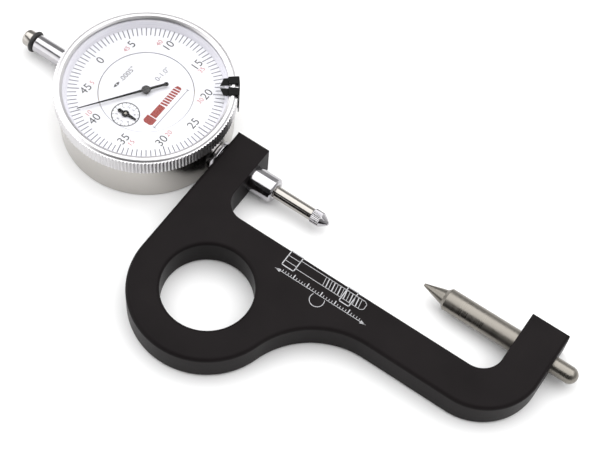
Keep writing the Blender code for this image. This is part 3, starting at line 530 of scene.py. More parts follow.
def add_band(solid, inner, outer, low, high, centre=(0, 0), start=0.0, end=360.0, steps=96):
    """Add a flat ring, or part of one between two angles."""
    whole = abs(end - start - 360) < TINY
    inside = arc(centre, inner, start, end, steps)
    outside = arc(centre, outer, start, end, steps)
    if not whole:
        add_prism(solid, inside + outside[::-1], low, high)
        return
    levels = [[solid.verts.new((x, y, z)) for x, y in loop[:-1]]
              for loop, z in ((inside, low), (outside, low), (outside, high), (inside, high))]
    for k in range(4):
        first, second = levels[k], levels[(k + 1) % 4]
        for i in range(steps):
            j = (i + 1) % steps
            solid.faces.new((first[i], first[j], second[j], second[i]))


def settle(piece):
    """Replace a piece's mesh by the result of its modifiers."""
    bpy.context.view_layer.update()
    graph = bpy.context.evaluated_depsgraph_get()
    piece.data = bpy.data.meshes.new_from_object(piece.evaluated_get(graph))
    piece.modifiers.clear()


def cut(piece, cutter):
    """Take a cutter's shape out of a piece and remove the cutter."""
    boolean = piece.modifiers.new("cut", "BOOLEAN")
    boolean.object = cutter
    boolean.solver = "EXACT"
    settle(piece)
    bpy.data.objects.remove(cutter)


def drill(piece, start, end, radius):
    """Take a round bore along the spindle's axis out of a piece."""
    bore = [(0, start), (radius, start), (radius, end), (0, end)]
    cut(piece, turned("bore_cutter", bore, piece.data.materials[0], 64))


def even_shading(piece):
    """Keep wide flat faces flat beside small rounded edges."""
    piece.data.shade_smooth()
    piece.data.set_sharp_from_angle(angle=math.radians(SHARP_ANGLE))
    weighted = piece.modifiers.new("shading", "WEIGHTED_NORMAL")
    weighted.keep_sharp = True
    weighted.weight = 60
    settle(piece)


def mounted(piece, body, slot, *nodes):
    """Let a piece ride on a body and stand for CAD nodes, which are hidden; the slot argument is not used.
    """
    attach(piece, body)
    if nodes:
        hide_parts(*nodes)
    return piece


def refined(node, body, slot, material, bevel=0.0):
    """A welded, smoothly shaded copy of a CAD node, with its corners broken by a small bevel when one is
    given.
    """
    solid = bmesh.new()
    solid.from_mesh(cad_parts[node].data)
    bmesh.ops.remove_doubles(solid, verts=solid.verts, dist=TINY)
    bmesh.ops.dissolve_limit(solid, angle_limit=0.002, verts=solid.verts, edges=solid.edges)
    bmesh.ops.scale(solid, vec=(1 / MM, 1 / MM, 1 / MM), verts=solid.verts)
    piece = piece_from(f"{node}_shaped", solid, material)
    if bevel:
        edges = piece.modifiers.new("edges", "BEVEL")
        edges.width = bevel * MM
        edges.segments = 3
        edges.limit_method = "ANGLE"
        edges.angle_limit = math.radians(SHARP_ANGLE)
        settle(piece)
        even_shading(piece)
    return mounted(piece, body, slot, node)


# ---------------------------------------------------------------- hand frame

def frame_outline():
    """Outline of the hand frame: dial leg, finger ring, bar with its blend, anvil leg and throat."""
    blend_y = BAR_Y[0] - RING_BLEND
    drop = blend_y - RING_CENTRE[1]
    blend_x = RING_CENTRE[0] + math.sqrt((RING_RADIUS + RING_BLEND) ** 2 - drop ** 2)
    touch = math.degrees(math.atan2(drop, blend_x - RING_CENTRE[0]))
    outside = (ANVIL_LEG_X[1] - OUTER_CORNER, BAR_Y[0] + OUTER_CORNER)
    inside = (ANVIL_LEG_X[0] - ANVIL_FILLET, BAR_Y[1] + ANVIL_FILLET)
    throat = (DIAL_LEG_X[1] + THROAT_FILLET, BAR_Y[1] + THROAT_FILLET)
    outline = [(DIAL_LEG_X[0], LEG_END_Y)]
    outline += arc(RING_CENTRE, RING_RADIUS, -180, touch, 72)
    outline += arc((blend_x, blend_y), RING_BLEND, 180 + touch, 90, 28)[1:]
    outline += arc(outside, OUTER_CORNER, -90, 0, 28)
    outline += [(ANVIL_LEG_X[1], LEG_END_Y), (ANVIL_LEG_X[0], LEG_END_Y)]
    outline += arc(inside, ANVIL_FILLET, 0, -90, 20)
    outline += arc(throat, THROAT_FILLET, -90, -180, 12)
    outline.append((DIAL_LEG_X[1], LEG_END_Y))
    return outline


def edge_rounding(edge):
    """Share of the full edge round: all of it outside, a broken corner in the throat and on the ends."""
    a, b = (vertex.co / MM for vertex in edge.verts)
    middle = (a + b) / 2
    if abs(a.z - b.z) > NEAR:
        return CRISP_SHARE if a.y > LEG_END_Y - NEAR else 0.0
    on_end = middle.y > LEG_END_Y - NEAR
    between = DIAL_LEG_X[1] - NEAR < middle.x < ANVIL_LEG_X[0] + NEAR
    in_throat = between and middle.y > BAR_Y[1] - NEAR
    return CRISP_SHARE if on_end or in_throat else 1.0


def make_frame():
    """Hand frame with rounded edges, its finger hole, and the bores for stem, anvil and screws."""
    solid = bmesh.new()
    add_prism(solid, frame_outline(), 0, FRAME_TOP)
    piece = piece_from("frame_body", solid, ANODISED)
    marked = bmesh.new()
    marked.from_mesh(piece.data)
    weights = marked.edges.layers.float.new("bevel_weight_edge")
    for edge in marked.edges:
        edge[weights] = edge_rounding(edge)
    marked.to_mesh(piece.data)
    marked.free()
    bevel = piece.modifiers.new("edges", "BEVEL")
    bevel.limit_method = "WEIGHT"
    bevel.width = EDGE_ROUND * MM
    bevel.segments = 6
    settle(piece)

    steps = 8
    flare = [(HOLE_ROUND * (1 - math.sin(math.pi / 2 * i / steps)),
              HOLE_ROUND * (1 - math.cos(math.pi / 2 * i / steps))) for i in range(steps + 1)]
    wide = RING_HOLE + HOLE_ROUND
    profile = [(0, FRAME_TOP + RING_CUT_PAST), (wide, FRAME_TOP + RING_CUT_PAST)]
    profile += [(RING_HOLE + out, FRAME_TOP - depth) for out, depth in flare]
    profile += [(RING_HOLE + out, depth) for out, depth in reversed(flare)]
    profile += [(wide, -RING_CUT_PAST), (0, -RING_CUT_PAST)]
    cut(piece, lathe("ring_cutter", profile, ANODISED, 128, centre=(*RING_CENTRE, 0)))
    drill(piece, DIAL_LEG_X[0] - CUT_PAST, DIAL_LEG_X[1] + CUT_PAST, STEM_RADIUS + BORE_PLAY)
    drill(piece, ANVIL_LEG_X[0] - CUT_PAST, ANVIL_SHOULDER_X + BORE_OVERLAP, ANVIL_RADIUS + BORE_PLAY)
    drill(piece, ANVIL_SHOULDER_X, ANVIL_LEG_X[1] + CUT_PAST, ANVIL_TAIL + BORE_PLAY)
    for x in CLAMP_X:
        hole = [(0, CLAMP_DEPTH_Y), (CLAMP_HOLE, CLAMP_DEPTH_Y),
                (CLAMP_HOLE, LEG_END_Y + CUT_PAST), (0, LEG_END_Y + CUT_PAST)]
        cutter = lathe("screw_cutter", hole, ANODISED, 48)
        cutter.rotation_euler.x = -math.pi / 2
        cutter.location = Vector((x, 0, AXIS_Z)) * MM
        cut(piece, cutter)
    even_shading(piece)
    mounted(piece, "gauge_body", "black_anodised", "gauge_frame")


def stroke(solid, points, width, low, high, closed=False):
    """Add a line of even width along points, as one slab for each run."""
    runs = list(zip(points, points[1:])) + ([(points[-1], points[0])] if closed else [])
    for a, b in runs:
        a, b = Vector(a), Vector(b)
        along = (b - a).normalized() * width / 2
        side = Vector((-along.y, along.x))
        corners = [a - along + side, a - along - side, b + along - side, b + along + side]
        add_prism(solid, [tuple(c) for c in corners], low, high)


def make_engraving():
    """Line drawing of a bolt held between two points, over a plain measuring scale."""
    solid = bmesh.new()
    low, high = FRAME_TOP - 0.03, FRAME_TOP + 0.012
    thin, bold = 0.16, 0.3
    left, right, middle = 67.0, 94.0, -19.6
    shank, wide, facet = 1.55, 2.7, 0.95
    head, nut_start, nut = 4.2, 87.4, 3.4
    end_taper = 0.9
    pitch, threads, first_thread, lean = 1.05, 13, 0.6, 0.55

    def draw_block(x, length):
        corners = [(x, middle - wide), (x + length, middle - wide),
                   (x + length, middle + wide), (x, middle + wide)]
        stroke(solid, corners, bold, low, high, True)

    draw_block(left, head)
    for across in (-facet, facet):
        stroke(solid, [(left, middle + across), (left + head, middle + across)], thin, low, high)
    for across in (-shank, shank):
        stroke(solid, [(left + head, middle + across), (right, middle + across)], thin, low, high)
    stroke(solid, [(right, middle - shank), (right + end_taper, middle - end_taper),
                   (right + end_taper, middle + end_taper), (right, middle + shank)], thin, low, high)
    for i in range(threads):
        x = right - first_thread - i * pitch
        stroke(solid, [(x, middle - shank), (x - lean, middle + shank)], bold if i % 2 else thin, low, high)
    draw_block(nut_start, nut)

    start, end, line_y = 66.2, 98.0, -24.4
    arrow_length, arrow_half = 1.7, 0.55
    marks, inset, long_mark, short_mark = 30, 1.4, 1.35, 0.8
    ring_inner, ring_outer, ring_centre = 2.15, 2.35, (82.1, -26.0)
    stroke(solid, [(start, line_y), (end, line_y)], thin, low, high)
    for x, way in ((start, 1), (end, -1)):
        back = x + way * arrow_length
        add_prism(solid, [(x, line_y), (back, line_y - arrow_half), (back, line_y + arrow_half)][::way],
                  low, high)
    for i in range(1, marks):
        x = start + inset + i * (end - start - 2 * inset) / marks
        long = i % 5 == 0
        stroke(solid, [(x, line_y), (x, line_y + (long_mark if long else short_mark))],
               bold if long else thin, low, high)
    add_band(solid, ring_inner, ring_outer, low, high, ring_centre, 150, 390, 40)
    piece = piece_from("frame_engraving", solid, ENGRAVED)
    mounted(piece, "gauge_body", "case_silver")


# ---------------------------------------------------------------- case, stem, barrel

def make_case():
    """Round case with a thinner rim for the bezel and bores for stem and barrel."""
    rim = span("indicator_case")[1].z
    seat_radius, seat_depth = COVER_SEAT
    step_radius, step_height = CASE_STEP
    wall = softened([
        (CASE_INNER, seat_depth), (seat_radius, seat_depth), (seat_radius, 0.0, 0.05),
        (CASE_RADIUS, 0.0, 0.55), (CASE_RADIUS, step_height, 0.2), (step_radius, step_height),
        (step_radius, rim), (CASE_INNER, rim),
    ], 5)
    piece = lathe("case_shell", wall, CASE_METAL, 192)
    near, far = CASE_BORE_X
    drill(piece, near, far, STEM_RADIUS + CASE_BORE_PLAY)
    drill(piece, -far, -near, BARREL_HIGH.y + CASE_BORE_PLAY)
    even_shading(piece)
    mounted(piece, "gauge_body", "case_silver", "indicator_case")


def make_stem():
    """Tube with a collar against the case and eased edges at its mouth."""
    end = STEM_HIGH.x
    collar_low, collar_high = STEM_COLLAR_X
    profile = softened([
        (SPINDLE_BORE, STEM_LOW.x), (STEM_RADIUS, STEM_LOW.x), (STEM_RADIUS, collar_low),
        (STEM_COLLAR_RADIUS, collar_low, 0.15), (STEM_COLLAR_RADIUS, collar_high, 0.25),
        (STEM_RADIUS, collar_high), (STEM_RADIUS, end - STEM_CHAMFER, 0.15),
        (STEM_RADIUS - STEM_CHAMFER, end, 0.15), (SPINDLE_BORE + STEM_MOUTH, end, 0.06),
        (SPINDLE_BORE, end - STEM_MOUTH, 0.06),
    ])
    mounted(turned("stem_tube", profile, CHROME, 96), "gauge_body", "chrome", "stem")


def make_barrel():
    """Small tube that the spindle leaves the case by."""
    start, end = BARREL_LOW.x, BARREL_HIGH.x
    radius = (BARREL_HIGH.y - BARREL_LOW.y) / 2
    profile = softened([
        (SPINDLE_BORE, start), (radius - BARREL_CHAMFER, start, 0.1),
        (radius, start + BARREL_CHAMFER, 0.15), (radius, end), (SPINDLE_BORE, end),
    ])
    mounted(turned("barrel_tube", profile, CHROME, 96), "gauge_body", "chrome", "top_barrel")


def make_cap():
    """Lifting cap on the spindle's free end, over the top barrel."""
    start, end = CAP_LOW.x, CAP_HIGH.x
    socket_radius, socket_floor = CAP_SOCKET
    head_radius, head_back = CAP_HEAD
    edge_radius, edge_depth = CAP_EDGE
    profile = softened([
        (0, socket_floor), (socket_radius, socket_floor), (socket_radius, end), (CAP_NECK_RADIUS, end),
        (CAP_NECK_RADIUS, head_back), (head_radius, head_back, 0.1),
        (head_radius, start + edge_depth, 0.25), (edge_radius, start, 0.2), (0, start),
    ])
    cap = turned("lifting_cap_turned", profile, SPINDLE_STEEL, 72)
    mounted(cap, "spindle_group", "steel", "lifting_cap")


def make_bumper():
    """Rubber ring under the lifting cap."""
    middle = (BUMPER_LOW.x + BUMPER_HIGH.x) / 2
    wire = (BUMPER_HIGH.x - BUMPER_LOW.x) / 2
    centre_line = (BUMPER_HIGH.y - BUMPER_LOW.y) / 2 - wire
    circle = [(r, middle + h) for r, h in arc((centre_line, 0), wire, 0, 360, 24)[:-1]]
    mounted(turned("bumper_rubber", circle, RUBBER, 72), "spindle_group", "rubber", "bumper_ring")


def make_contact():
    """Contact point with a ridged collar."""
    tip = CONTACT_HIGH.x
    ridge_start, ridge_end = CONTACT_RIDGES_X
    nose_start, nose_end = CONTACT_NOSE_X
    nose_radius, tip_radius = CONTACT_NOSE_RADII
    collar = (CONTACT_HIGH.y - CONTACT_LOW.y) / 2

    def knurling(radius, height, angle):
        inside = ridge_start - NEAR <= height <= ridge_end + NEAR and radius > collar - 0.3
        return -RIDGE_DEPTH * (0.5 - 0.5 * math.cos(CONTACT_RIDGES * angle)) if inside else 0

    profile = softened([
        (0, CONTACT_LOW.x), (CONTACT_SHANK, CONTACT_LOW.x), (CONTACT_SHANK, CONTACT_BASE_X),
        (collar - 0.25, CONTACT_BASE_X, 0.1), (collar, ridge_start), (collar, ridge_end),
        (collar - 0.06, nose_start, 0.1), (nose_radius, nose_end, 0.5),
        (tip_radius, tip - 0.2, 0.25), (0, tip),
    ], 5)
    contact = turned("contact_point_turned", profile, CHROME, CONTACT_RIDGES * 8, knurling)
    mounted(contact, "spindle_group", "chrome", "contact_point")


def make_anvil():
    """Pointed rod with a shoulder and a smaller domed tail."""
    tip, end = ANVIL_LOW.x, ANVIL_HIGH.x
    dome = arc((0, end - ANVIL_TAIL), ANVIL_TAIL, 0, 90, 12)
    profile = softened([
        (0, tip), (ANVIL_TIP_RADIUS, tip + ANVIL_TIP_DEPTH, 0.1), (*ANVIL_CONE, 0.1),
        (ANVIL_RADIUS, ANVIL_ROD_X, 0.12), (ANVIL_RADIUS, ANVIL_SHOULDER_X),
        (ANVIL_TAIL, ANVIL_SHOULDER_X),
    ])
    profile += dome[:-1] + [(0, end)]
    mounted(turned("anvil_turned", profile, STEEL, 96), "anvil_group", "steel", "anvil")


# ---------------------------------------------------------------- bezel and dial

def make_bezel():
    """Bezel with a coined edge between a plain skirt and a rounded crown."""
    knurl_low, knurl_high = BEZEL_LOW.z + 0.4, BEZEL_TOP - 0.7
    ledge = DIAL_RING_LOW - 0.05

    def coin_edge(radius, height, angle):
        banded = radius > BEZEL_RADIUS - 0.05 and knurl_low < height < knurl_high
        return -COIN_TOOTH * (0.5 - 0.5 * math.cos(COIN_TEETH * angle)) ** 1.3 if banded else 0

    skirt_low, skirt_high = BEZEL_SKIRT
    crown_outer, crown_inner = BEZEL_CROWN
    profile = softened([
        (BEZEL_INNER, BEZEL_LOW.z), (skirt_low, BEZEL_LOW.z, 0.1), (skirt_high, knurl_low - 0.04),
    ])
    profile += [(BEZEL_RADIUS, knurl_low + 0.02), (BEZEL_RADIUS, knurl_high - 0.02)]
    profile += softened([
        (BEZEL_SHOULDER, knurl_high + 0.08, 0.1), (crown_outer, BEZEL_TOP, 0.4),
        (crown_inner, BEZEL_TOP, 0.3), (BEZEL_LIP, GLASS_HIGH.z + 0.15, 0.08),
        (BEZEL_LIP, GLASS_HIGH.z + 0.05), (BEZEL_GLASS_SEAT, GLASS_HIGH.z + 0.05),
        (BEZEL_GLASS_SEAT, ledge), (BEZEL_INNER, ledge),
    ])
    piece = lathe("bezel_coin_edge", profile, BEZEL_METAL, COIN_TEETH * 8, ripple=coin_edge)
    mounted(piece, "bezel_group", "chrome", "bezel")


def make_crystal():
    """Glass, and the spacer wall that keeps it off the dial."""
    inner, top_inner, outer = SPACER_WALL
    bottom, top = DIAL_RING_TOP + 0.05, GLASS_LOW.z - 0.05
    wall = softened([(inner, bottom), (outer, bottom), (outer, top), (top_inner, top, 0.05)])
    spacer = lathe("dial_wall", wall, SPACER, 192)
    mounted(spacer, "bezel_group", "spacer_grey", "dial_spacer")

    pane = softened([(0, GLASS_LOW.z), (outer, GLASS_LOW.z, 0.1), (outer, GLASS_HIGH.z, 0.1),
                     (0, GLASS_HIGH.z)], 3)
    crystal = lathe("crystal_pane", pane, GLASS, 192)
    mounted(crystal, "bezel_group", "glass", "crystal")


def dial_point(number, radius):
    """Point on the dial at a scale number; 0 is at the barrel and numbers run clockwise."""
    angle = math.pi + DIAL_TURN - 2 * math.pi * number / (DIVISIONS / 2)
    return Vector((radius * math.cos(angle), radius * math.sin(angle)))


def make_ticks():
    """Ticks of the outer scale, and inside them a thin pale circle that is painted shade along the seam
    between the turning ring and the fixed disc.
    """
    solid = bmesh.new()
    low, high = DIAL_RING_TOP - TICK_SUNK, DIAL_RING_TOP + INK
    long_width, short_width = TICK_WIDTHS
    for division in range(DIVISIONS):
        long = division % NUMBERED == 0
        inner = TICK_LONG if long else TICK_SHORT if division % 2 else TICK_SHORT - TICK_EVEN_EXTRA
        number = division / 2
        stroke(solid, [dial_point(number, inner), dial_point(number, TICK_OUTER)],
               long_width if long else short_width, low, high)
    mounted(piece_from("dial_ticks", solid, GREY_INK), "bezel_group", "black_paint")

    # Painted shade: a thin pale grey ring along the seam where the turning ring meets the fixed disc
    circle = bmesh.new()
    add_band(circle, *DIAL_SEAM_SHADE, low, high, steps=160)
    mounted(piece_from("dial_seam_painted_shade", circle, SEAM_SHADE_INK), "bezel_group", "black_paint")


def add_text(solid, words, height, centre, low):
    """Add raised characters of a given height, centred on a point and turned to the dial."""
    curve = bpy.data.curves.new("words", "FONT")
    curve.body = words
    curve.align_x = "CENTER"
    curve.resolution_u = 5
    holder = bpy.data.objects.new("words", curve)
    bpy.context.scene.collection.objects.link(holder)
    bpy.context.view_layer.update()
    mesh = bpy.data.meshes.new_from_object(holder.evaluated_get(bpy.context.evaluated_depsgraph_get()))
    bpy.data.objects.remove(holder)
    ys = [vertex.co.y for vertex in mesh.vertices]
    size = height / (max(ys) - min(ys))
    middle = (max(ys) + min(ys)) / 2
    flat = bmesh.new()
    flat.from_mesh(mesh)
    bmesh.ops.remove_doubles(flat, verts=flat.verts, dist=1e-5)
    bmesh.ops.translate(flat, vec=(0, -middle, 0), verts=flat.verts)
    placed = Matrix.Translation((*centre, low)) @ Matrix.Rotation(TEXT_TURN, 4, "Z")
    bmesh.ops.transform(flat, matrix=placed @ Matrix.Diagonal((size, size, 1, 1)), verts=flat.verts)
    grown = bmesh.ops.extrude_face_region(flat, geom=flat.faces[:])
    raised = [item for item in grown["geom"] if isinstance(item, bmesh.types.BMVert)]
    bmesh.ops.translate(flat, vec=(0, 0, INK), verts=raised)
    flat.to_mesh(mesh)
    flat.free()
    solid.from_mesh(mesh)


def text_offset(point, along=0.0, up=0.0):
    """Shift a point in the reading direction of the dial's numbers, and towards their tops."""
    along_way = Vector((math.cos(TEXT_TURN), math.sin(TEXT_TURN)))
    up_way = Vector((-along_way.y, along_way.x))
    return Vector(point) + along_way * along + up_way * up


def around_counter(step, steps):
    """Direction from the counter's centre at a step of its scale, clockwise from its top."""
    angle = TEXT_TURN + math.pi / 2 - 2 * math.pi * step / steps
    return Vector((math.cos(angle), math.sin(angle)))


def make_numbers():
    """Large numbers every ten divisions, with small red ones that count the other way."""
    large, small = bmesh.new(), bmesh.new()
    large_height, small_height = NUMBER_HEIGHTS
    low = DIAL_RING_TOP - INK_SUNK
    reverse_place = {5: (-2.5, 0), 10: (-0.9, 2.9), 15: (-0.6, -2.4), 20: (-3.1, 0), 30: (3.4, 0),
                     35: (0.4, -2.7), 40: (0.4, 2.7), 45: (3.0, 0)}
    last = DIVISIONS // 2
    for number in range(0, last, NUMBERED // 2):
        spot = dial_point(number, NUMBER_RADIUS)
        add_text(large, str(number), large_height, spot, low)
        if number in reverse_place:
            add_text(small, str(last - number), small_height, text_offset(spot, *reverse_place[number]), low)
    mounted(piece_from("dial_numbers", large, BLACK_INK), "bezel_group", "black_paint")
    mounted(piece_from("dial_reverse_numbers", small, SOFT_RED_INK), "bezel_group", "black_paint")


def make_dial_marks():
    """Black print on the fixed disc: counter ring, two arrowheads and the value of a division."""
    low, high = DIAL_PLATE_TOP - INK_SUNK, DIAL_PLATE_TOP + INK
    black = bmesh.new()
    add_band(black, *COUNTER_CIRCLE, low, high, COUNTER_CENTRE, steps=72)
    centre = Vector(COUNTER_CENTRE)
    short, long, outer = COUNTER_TICKS
    ticks = 20
    for i in range(ticks):
        way = around_counter(i, ticks)
        inner = short if i % 2 else long
        stroke(black, [centre + way * inner, centre + way * outer], COUNTER_TICK_WIDTH, low, high)
    gap, half, length = 0.15, 0.62, 1.3
    for way in (-1, 1):
        start = text_offset((-9.0, -3.3), way * gap)
        tips = [text_offset(start, 0, half), text_offset(start, 0, -half), text_offset(start, way * length)]
        add_prism(black, [tuple(p) for p in tips[::way]], low, high)
    add_text(black, '.0005"', NOTE_HEIGHT, text_offset((-8.9, 1.9)), low)
    mounted(piece_from("dial_marks", black, BLACK_INK), "gauge_body", "black_paint")


def make_dial_range():
    """Grey print on the fixed disc: the counter's digits and the range."""
    low = DIAL_PLATE_TOP - INK_SUNK
    grey = bmesh.new()
    digit_radius, digit_height = COUNTER_DIGITS
    for digit in range(10):
        spot = Vector(COUNTER_CENTRE) + around_counter(digit, 10) * digit_radius
        add_text(grey, str(digit), digit_height, spot, low)
    add_text(grey, '0-1.0"', NOTE_HEIGHT, (-0.1, 8.3), low)
    mounted(piece_from("dial_range", grey, GREY_INK), "gauge_body", "black_paint")


def make_emblem():
    """Plain red bolt with a grey dimension line beside it."""
    low, high = DIAL_PLATE_TOP - INK_SUNK, DIAL_PLATE_TOP + INK
    x, head, shank, chamfer = 7.2, 1.75, 1.2, 1.1
    head_bottom, head_edge, head_top = -9.2, -8.6, -6.4
    shank_bottom, shank_top = -6.1, -1.2
    threads, first, pitch, thick, lean = 7, -0.9, 1.05, 0.72, 0.3
    tip_left, tip_right, tip_end, tip_half = 6.45, 6.75, 7.6, 0.7
    red = bmesh.new()
    add_prism(red, [(x - head, head_edge), (x - head, head_top), (x + head, head_top),
                    (x + head, head_edge), (x + chamfer, head_bottom), (x - chamfer, head_bottom)],
              low, high)
    add_prism(red, [(x - shank, shank_bottom), (x - shank, shank_top), (x + shank, shank_top),
                    (x + shank, shank_bottom)], low, high)
    for i in range(threads):
        y = first + pitch * i
        add_prism(red, [(x + shank, y + lean), (x + shank, y + lean + thick), (x - shank, y + thick),
                        (x - shank, y)], low, high)
    add_prism(red, [(x - shank, tip_left), (x - tip_half, tip_end), (x + tip_half, tip_end),
                    (x + shank, tip_right)], low, high)
    mounted(piece_from("dial_emblem", red, RED_INK), "gauge_body", "black_paint")

    line = bmesh.new()
    line_x, bottom, top, half, width = 9.95, -9.0, 8.2, 0.45, 0.2
    stroke(line, [(line_x, bottom), (line_x, top)], width, low, high)
    for y in (bottom, top):
        stroke(line, [(line_x - half, y), (line_x + half, y)], width, low, high)
    mounted(piece_from("dial_emblem_line", line, GREY_INK), "gauge_body", "black_paint")


def make_hub():
    """Boss that holds the long pointer on its arbor."""
    bottom, top = (corner.z for corner in span("pointer_hub"))
    seat = span("long_pointer")[1].z + 0.05
    arbor, sleeve, foot, crown = 0.55, 0.85, 1.45, 1.35
    profile = softened([
        (0, top - 0.25), (arbor, top - 0.25), (arbor, bottom), (sleeve, bottom), (sleeve, seat),
        (foot, seat, 0.05), (crown, top - 0.02, 0.2), (0, top - 0.02),
    ])
    mounted(lathe("pointer_boss", profile, OXIDE, 64), "centre_arbor_group", "black_steel", "pointer_hub")


def make_return_spring():
    """Coil that stretches between the spindle's pin and the post on the plate."""
    low, high = span("return_spring")
    turns, steps, radius, wire, ring = 12, 20, 0.85, 0.14, 8
    middle_y, middle_z = (low.y + high.y) / 2, (low.z + high.z) / 2
    start, end, count = low.x + wire, high.x - wire, turns * steps
    solid = bmesh.new()
    rings = []
    for i in range(count + 1):
        angle = 2 * math.pi * i / steps
        out = Vector((0, math.cos(angle), math.sin(angle)))
        centre = Vector((start + (end - start) * i / count, middle_y, middle_z)) + out * radius
        rings.append([solid.verts.new(centre + out * wire * math.cos(a) + Vector((wire * math.sin(a), 0, 0)))
                      for a in (2 * math.pi * k / ring for k in range(ring))])
    for first, second in zip(rings, rings[1:]):
        for k in range(ring):
            solid.faces.new((first[k], first[(k + 1) % ring], second[(k + 1) % ring], second[k]))
    solid.faces.new(rings[0])
    solid.faces.new(rings[-1][::-1])
    piece = piece_from("return_spring_coil", solid, STEEL, sharp=60)
    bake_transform(piece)
    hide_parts("return_spring")


make_frame()
make_engraving()
make_case()
make_stem()
make_barrel()
make_cap()
make_bumper()
make_contact()
make_anvil()
make_bezel()
make_crystal()
make_ticks()
make_numbers()
make_dial_marks()
make_dial_range()
make_emblem()
make_hub()
make_return_spring()

refined("spindle", "spindle_group", "steel", SPINDLE_STEEL)
refined("long_pointer", "centre_arbor_group", "black_paint", PAINT, 0.04)
refined("small_pointer", "take_up_group", "black_paint", PAINT, 0.04)
refined("limit_clip_far", "far_clip", "black_paint", PAINT, 0.08)
refined("limit_clip_near", "near_clip", "black_paint", PAINT, 0.08)
refined("stem_clamp_screw", "stem_screw", "black_steel", OXIDE, 0.05)
refined("anvil_clamp_screw", "anvil_screw", "black_steel", OXIDE, 0.05)
refined("back_cover", "gauge_body", "case_silver", CASE_METAL, 0.15)

CAD_MATERIALS = {"steel": STEEL, "brass": BRASS, "dial_white": ENAMEL, "black_steel": OXIDE,
                 "chrome": CHROME, "case_silver": CASE_METAL, "black_anodised": ANODISED,
                 "spacer_grey": SPACER, "glass": GLASS, "rubber": RUBBER, "black_paint": PAINT}
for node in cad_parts.values():
    for holder in node.material_slots:
        holder.material = CAD_MATERIALS[holder.material.name.split(".")[0]]


# ---------------------------------------------------------------- studio

CAMERA_AZIMUTH = math.radians(28.09)
CAMERA_ELEVATION = math.radians(60.57)
CAMERA_ROLL = math.radians(7.19)
CAMERA_TARGET = Vector((0.060964, -0.002649, 0))
CAMERA_DISTANCE = 0.45524
CAMERA_LENS = 88.19
AWAY = Vector((-math.sin(CAMERA_AZIMUTH), math.cos(CAMERA_AZIMUTH), 0))


def make_camera():
    """Camera fitted to the photo, rolled about its own line of sight."""
    forward = AWAY * math.cos(CAMERA_ELEVATION) - Vector((0, 0, math.sin(CAMERA_ELEVATION)))
    level = Vector((math.cos(CAMERA_AZIMUTH), math.sin(CAMERA_AZIMUTH), 0))
    upward = level.cross(forward)
    right = level * math.cos(CAMERA_ROLL) + upward * math.sin(CAMERA_ROLL)
    up = upward * math.cos(CAMERA_ROLL) - level * math.sin(CAMERA_ROLL)
    data = bpy.data.cameras.new("camera")
    data.sensor_width = 36
    data.lens = CAMERA_LENS
    data.clip_start = 0.05
    data.clip_end = 20
    camera = bpy.data.objects.new("camera", data)
    axes = Matrix((right, up, -forward)).transposed().to_4x4()
    camera.matrix_world = Matrix.Translation(CAMERA_TARGET - forward * CAMERA_DISTANCE) @ axes
    bpy.context.scene.collection.objects.link(camera)
    bpy.context.scene.camera = camera


def make_floor():
    """Wide sheet of white paper just under the gauge."""
    solid = bmesh.new()
    half_side, cells, middle_x, height = 3000, 12, 60, -0.05
    grid = [[solid.verts.new((middle_x + half_side * (i / cells - 0.5) * 2,
                              half_side * (j / cells - 0.5) * 2, height))
             for j in range(cells + 1)] for i in range(cells + 1)]
    for i in range(cells):
        for j in range(cells):
            solid.faces.new((grid[i][j], grid[i + 1][j], grid[i + 1][j + 1], grid[i][j + 1]))
    paper = new_material("floor_paper", (0.93, 0.93, 0.93), 0.0, 0.9, Specular_IOR_Level=0.1)
    vary(paper, noise(paper, 30, 2), (0.925, 0.925, 0.925), (0.94, 0.938, 0.94))
    floor = piece_from("floor", solid, paper)


def softbox(name, place, size, turn, power):
    """Rectangular light that faces straight down, its long side turned about the upright."""
    data = bpy.data.lights.new(name, "AREA")
    data.shape = "RECTANGLE"
    data.size, data.size_y = size
    data.energy = power
    lamp = bpy.data.objects.new(name, data)
    lamp.location = place
    lamp.rotation_euler.z = turn
    lamp.visible_camera = False
    bpy.context.scene.collection.objects.link(lamp)


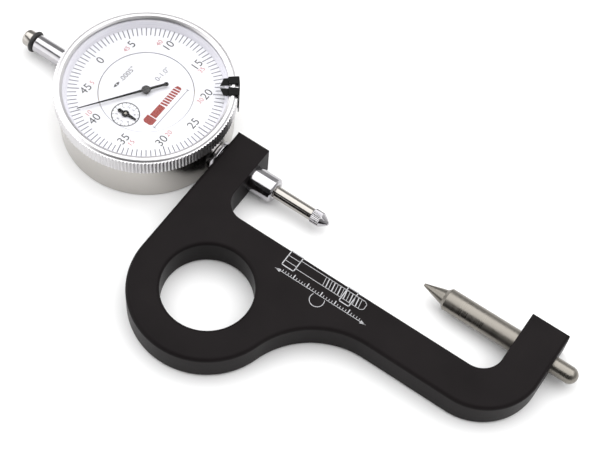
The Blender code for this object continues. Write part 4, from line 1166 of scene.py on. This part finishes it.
def make_world():
    """Dim room that glows behind the table and to both sides; a plain pale backdrop to the camera."""
    world = bpy.data.worlds.new("studio")
    bpy.context.scene.world = world
    world.use_nodes = True
    nodes, links = world.node_tree.nodes, world.node_tree.links
    background = nodes["Background"]
    direction = nodes.new("ShaderNodeTexCoord").outputs["Generated"]

    def towards(way, low, high, start, end):
        """Light that rises from low to high as a direction turns towards way."""
        dot = nodes.new("ShaderNodeVectorMath")
        dot.operation = "DOT_PRODUCT"
        dot.inputs[1].default_value = way
        links.new(direction, dot.inputs[0])
        smooth = nodes.new("ShaderNodeMapRange")
        smooth.interpolation_type = "SMOOTHSTEP"
        for socket, value in zip(("From Min", "From Max", "To Min", "To Max"), (start, end, low, high)):
            smooth.inputs[socket].default_value = value
        links.new(dot.outputs["Value"], smooth.inputs["Value"])
        return smooth.outputs["Result"]

    def combine(first, second):
        total = nodes.new("ShaderNodeMath")
        total.operation = "ADD"
        links.new(first, total.inputs[0])
        links.new(second, total.inputs[1])
        return total.outputs["Value"]

    behind = towards(AWAY, 0.03, 0.45, -0.2, 0.6)
    right = towards((AWAY.y, -AWAY.x, 0), 0.0, 0.5, 0.1, 0.8)
    left = towards((-AWAY.y, AWAY.x, 0), 0.0, 2.0, 0.62, 0.8)
    level = combine(combine(behind, right), left)
    grey = nodes.new("ShaderNodeCombineColor")
    for socket in grey.inputs:
        links.new(level, socket)
    links.new(grey.outputs["Color"], background.inputs["Color"])

    plain = nodes.new("ShaderNodeBackground")
    plain.inputs["Color"].default_value = (0.9, 0.9, 0.9, 1)
    path = nodes.new("ShaderNodeLightPath")
    chosen = nodes.new("ShaderNodeMixShader")
    links.new(path.outputs["Is Camera Ray"], chosen.inputs["Fac"])
    links.new(background.outputs["Background"], chosen.inputs[1])
    links.new(plain.outputs["Background"], chosen.inputs[2])
    links.new(chosen.outputs["Shader"], nodes["World Output"].inputs["Surface"])


make_camera()
make_floor()
make_world()
softbox("overhead_softbox", (0.13, 0.2, 1.0), (1.9, 1.5), CAMERA_AZIMUTH, 20.5)
bpy.context.scene.view_settings.view_transform = "Standard"
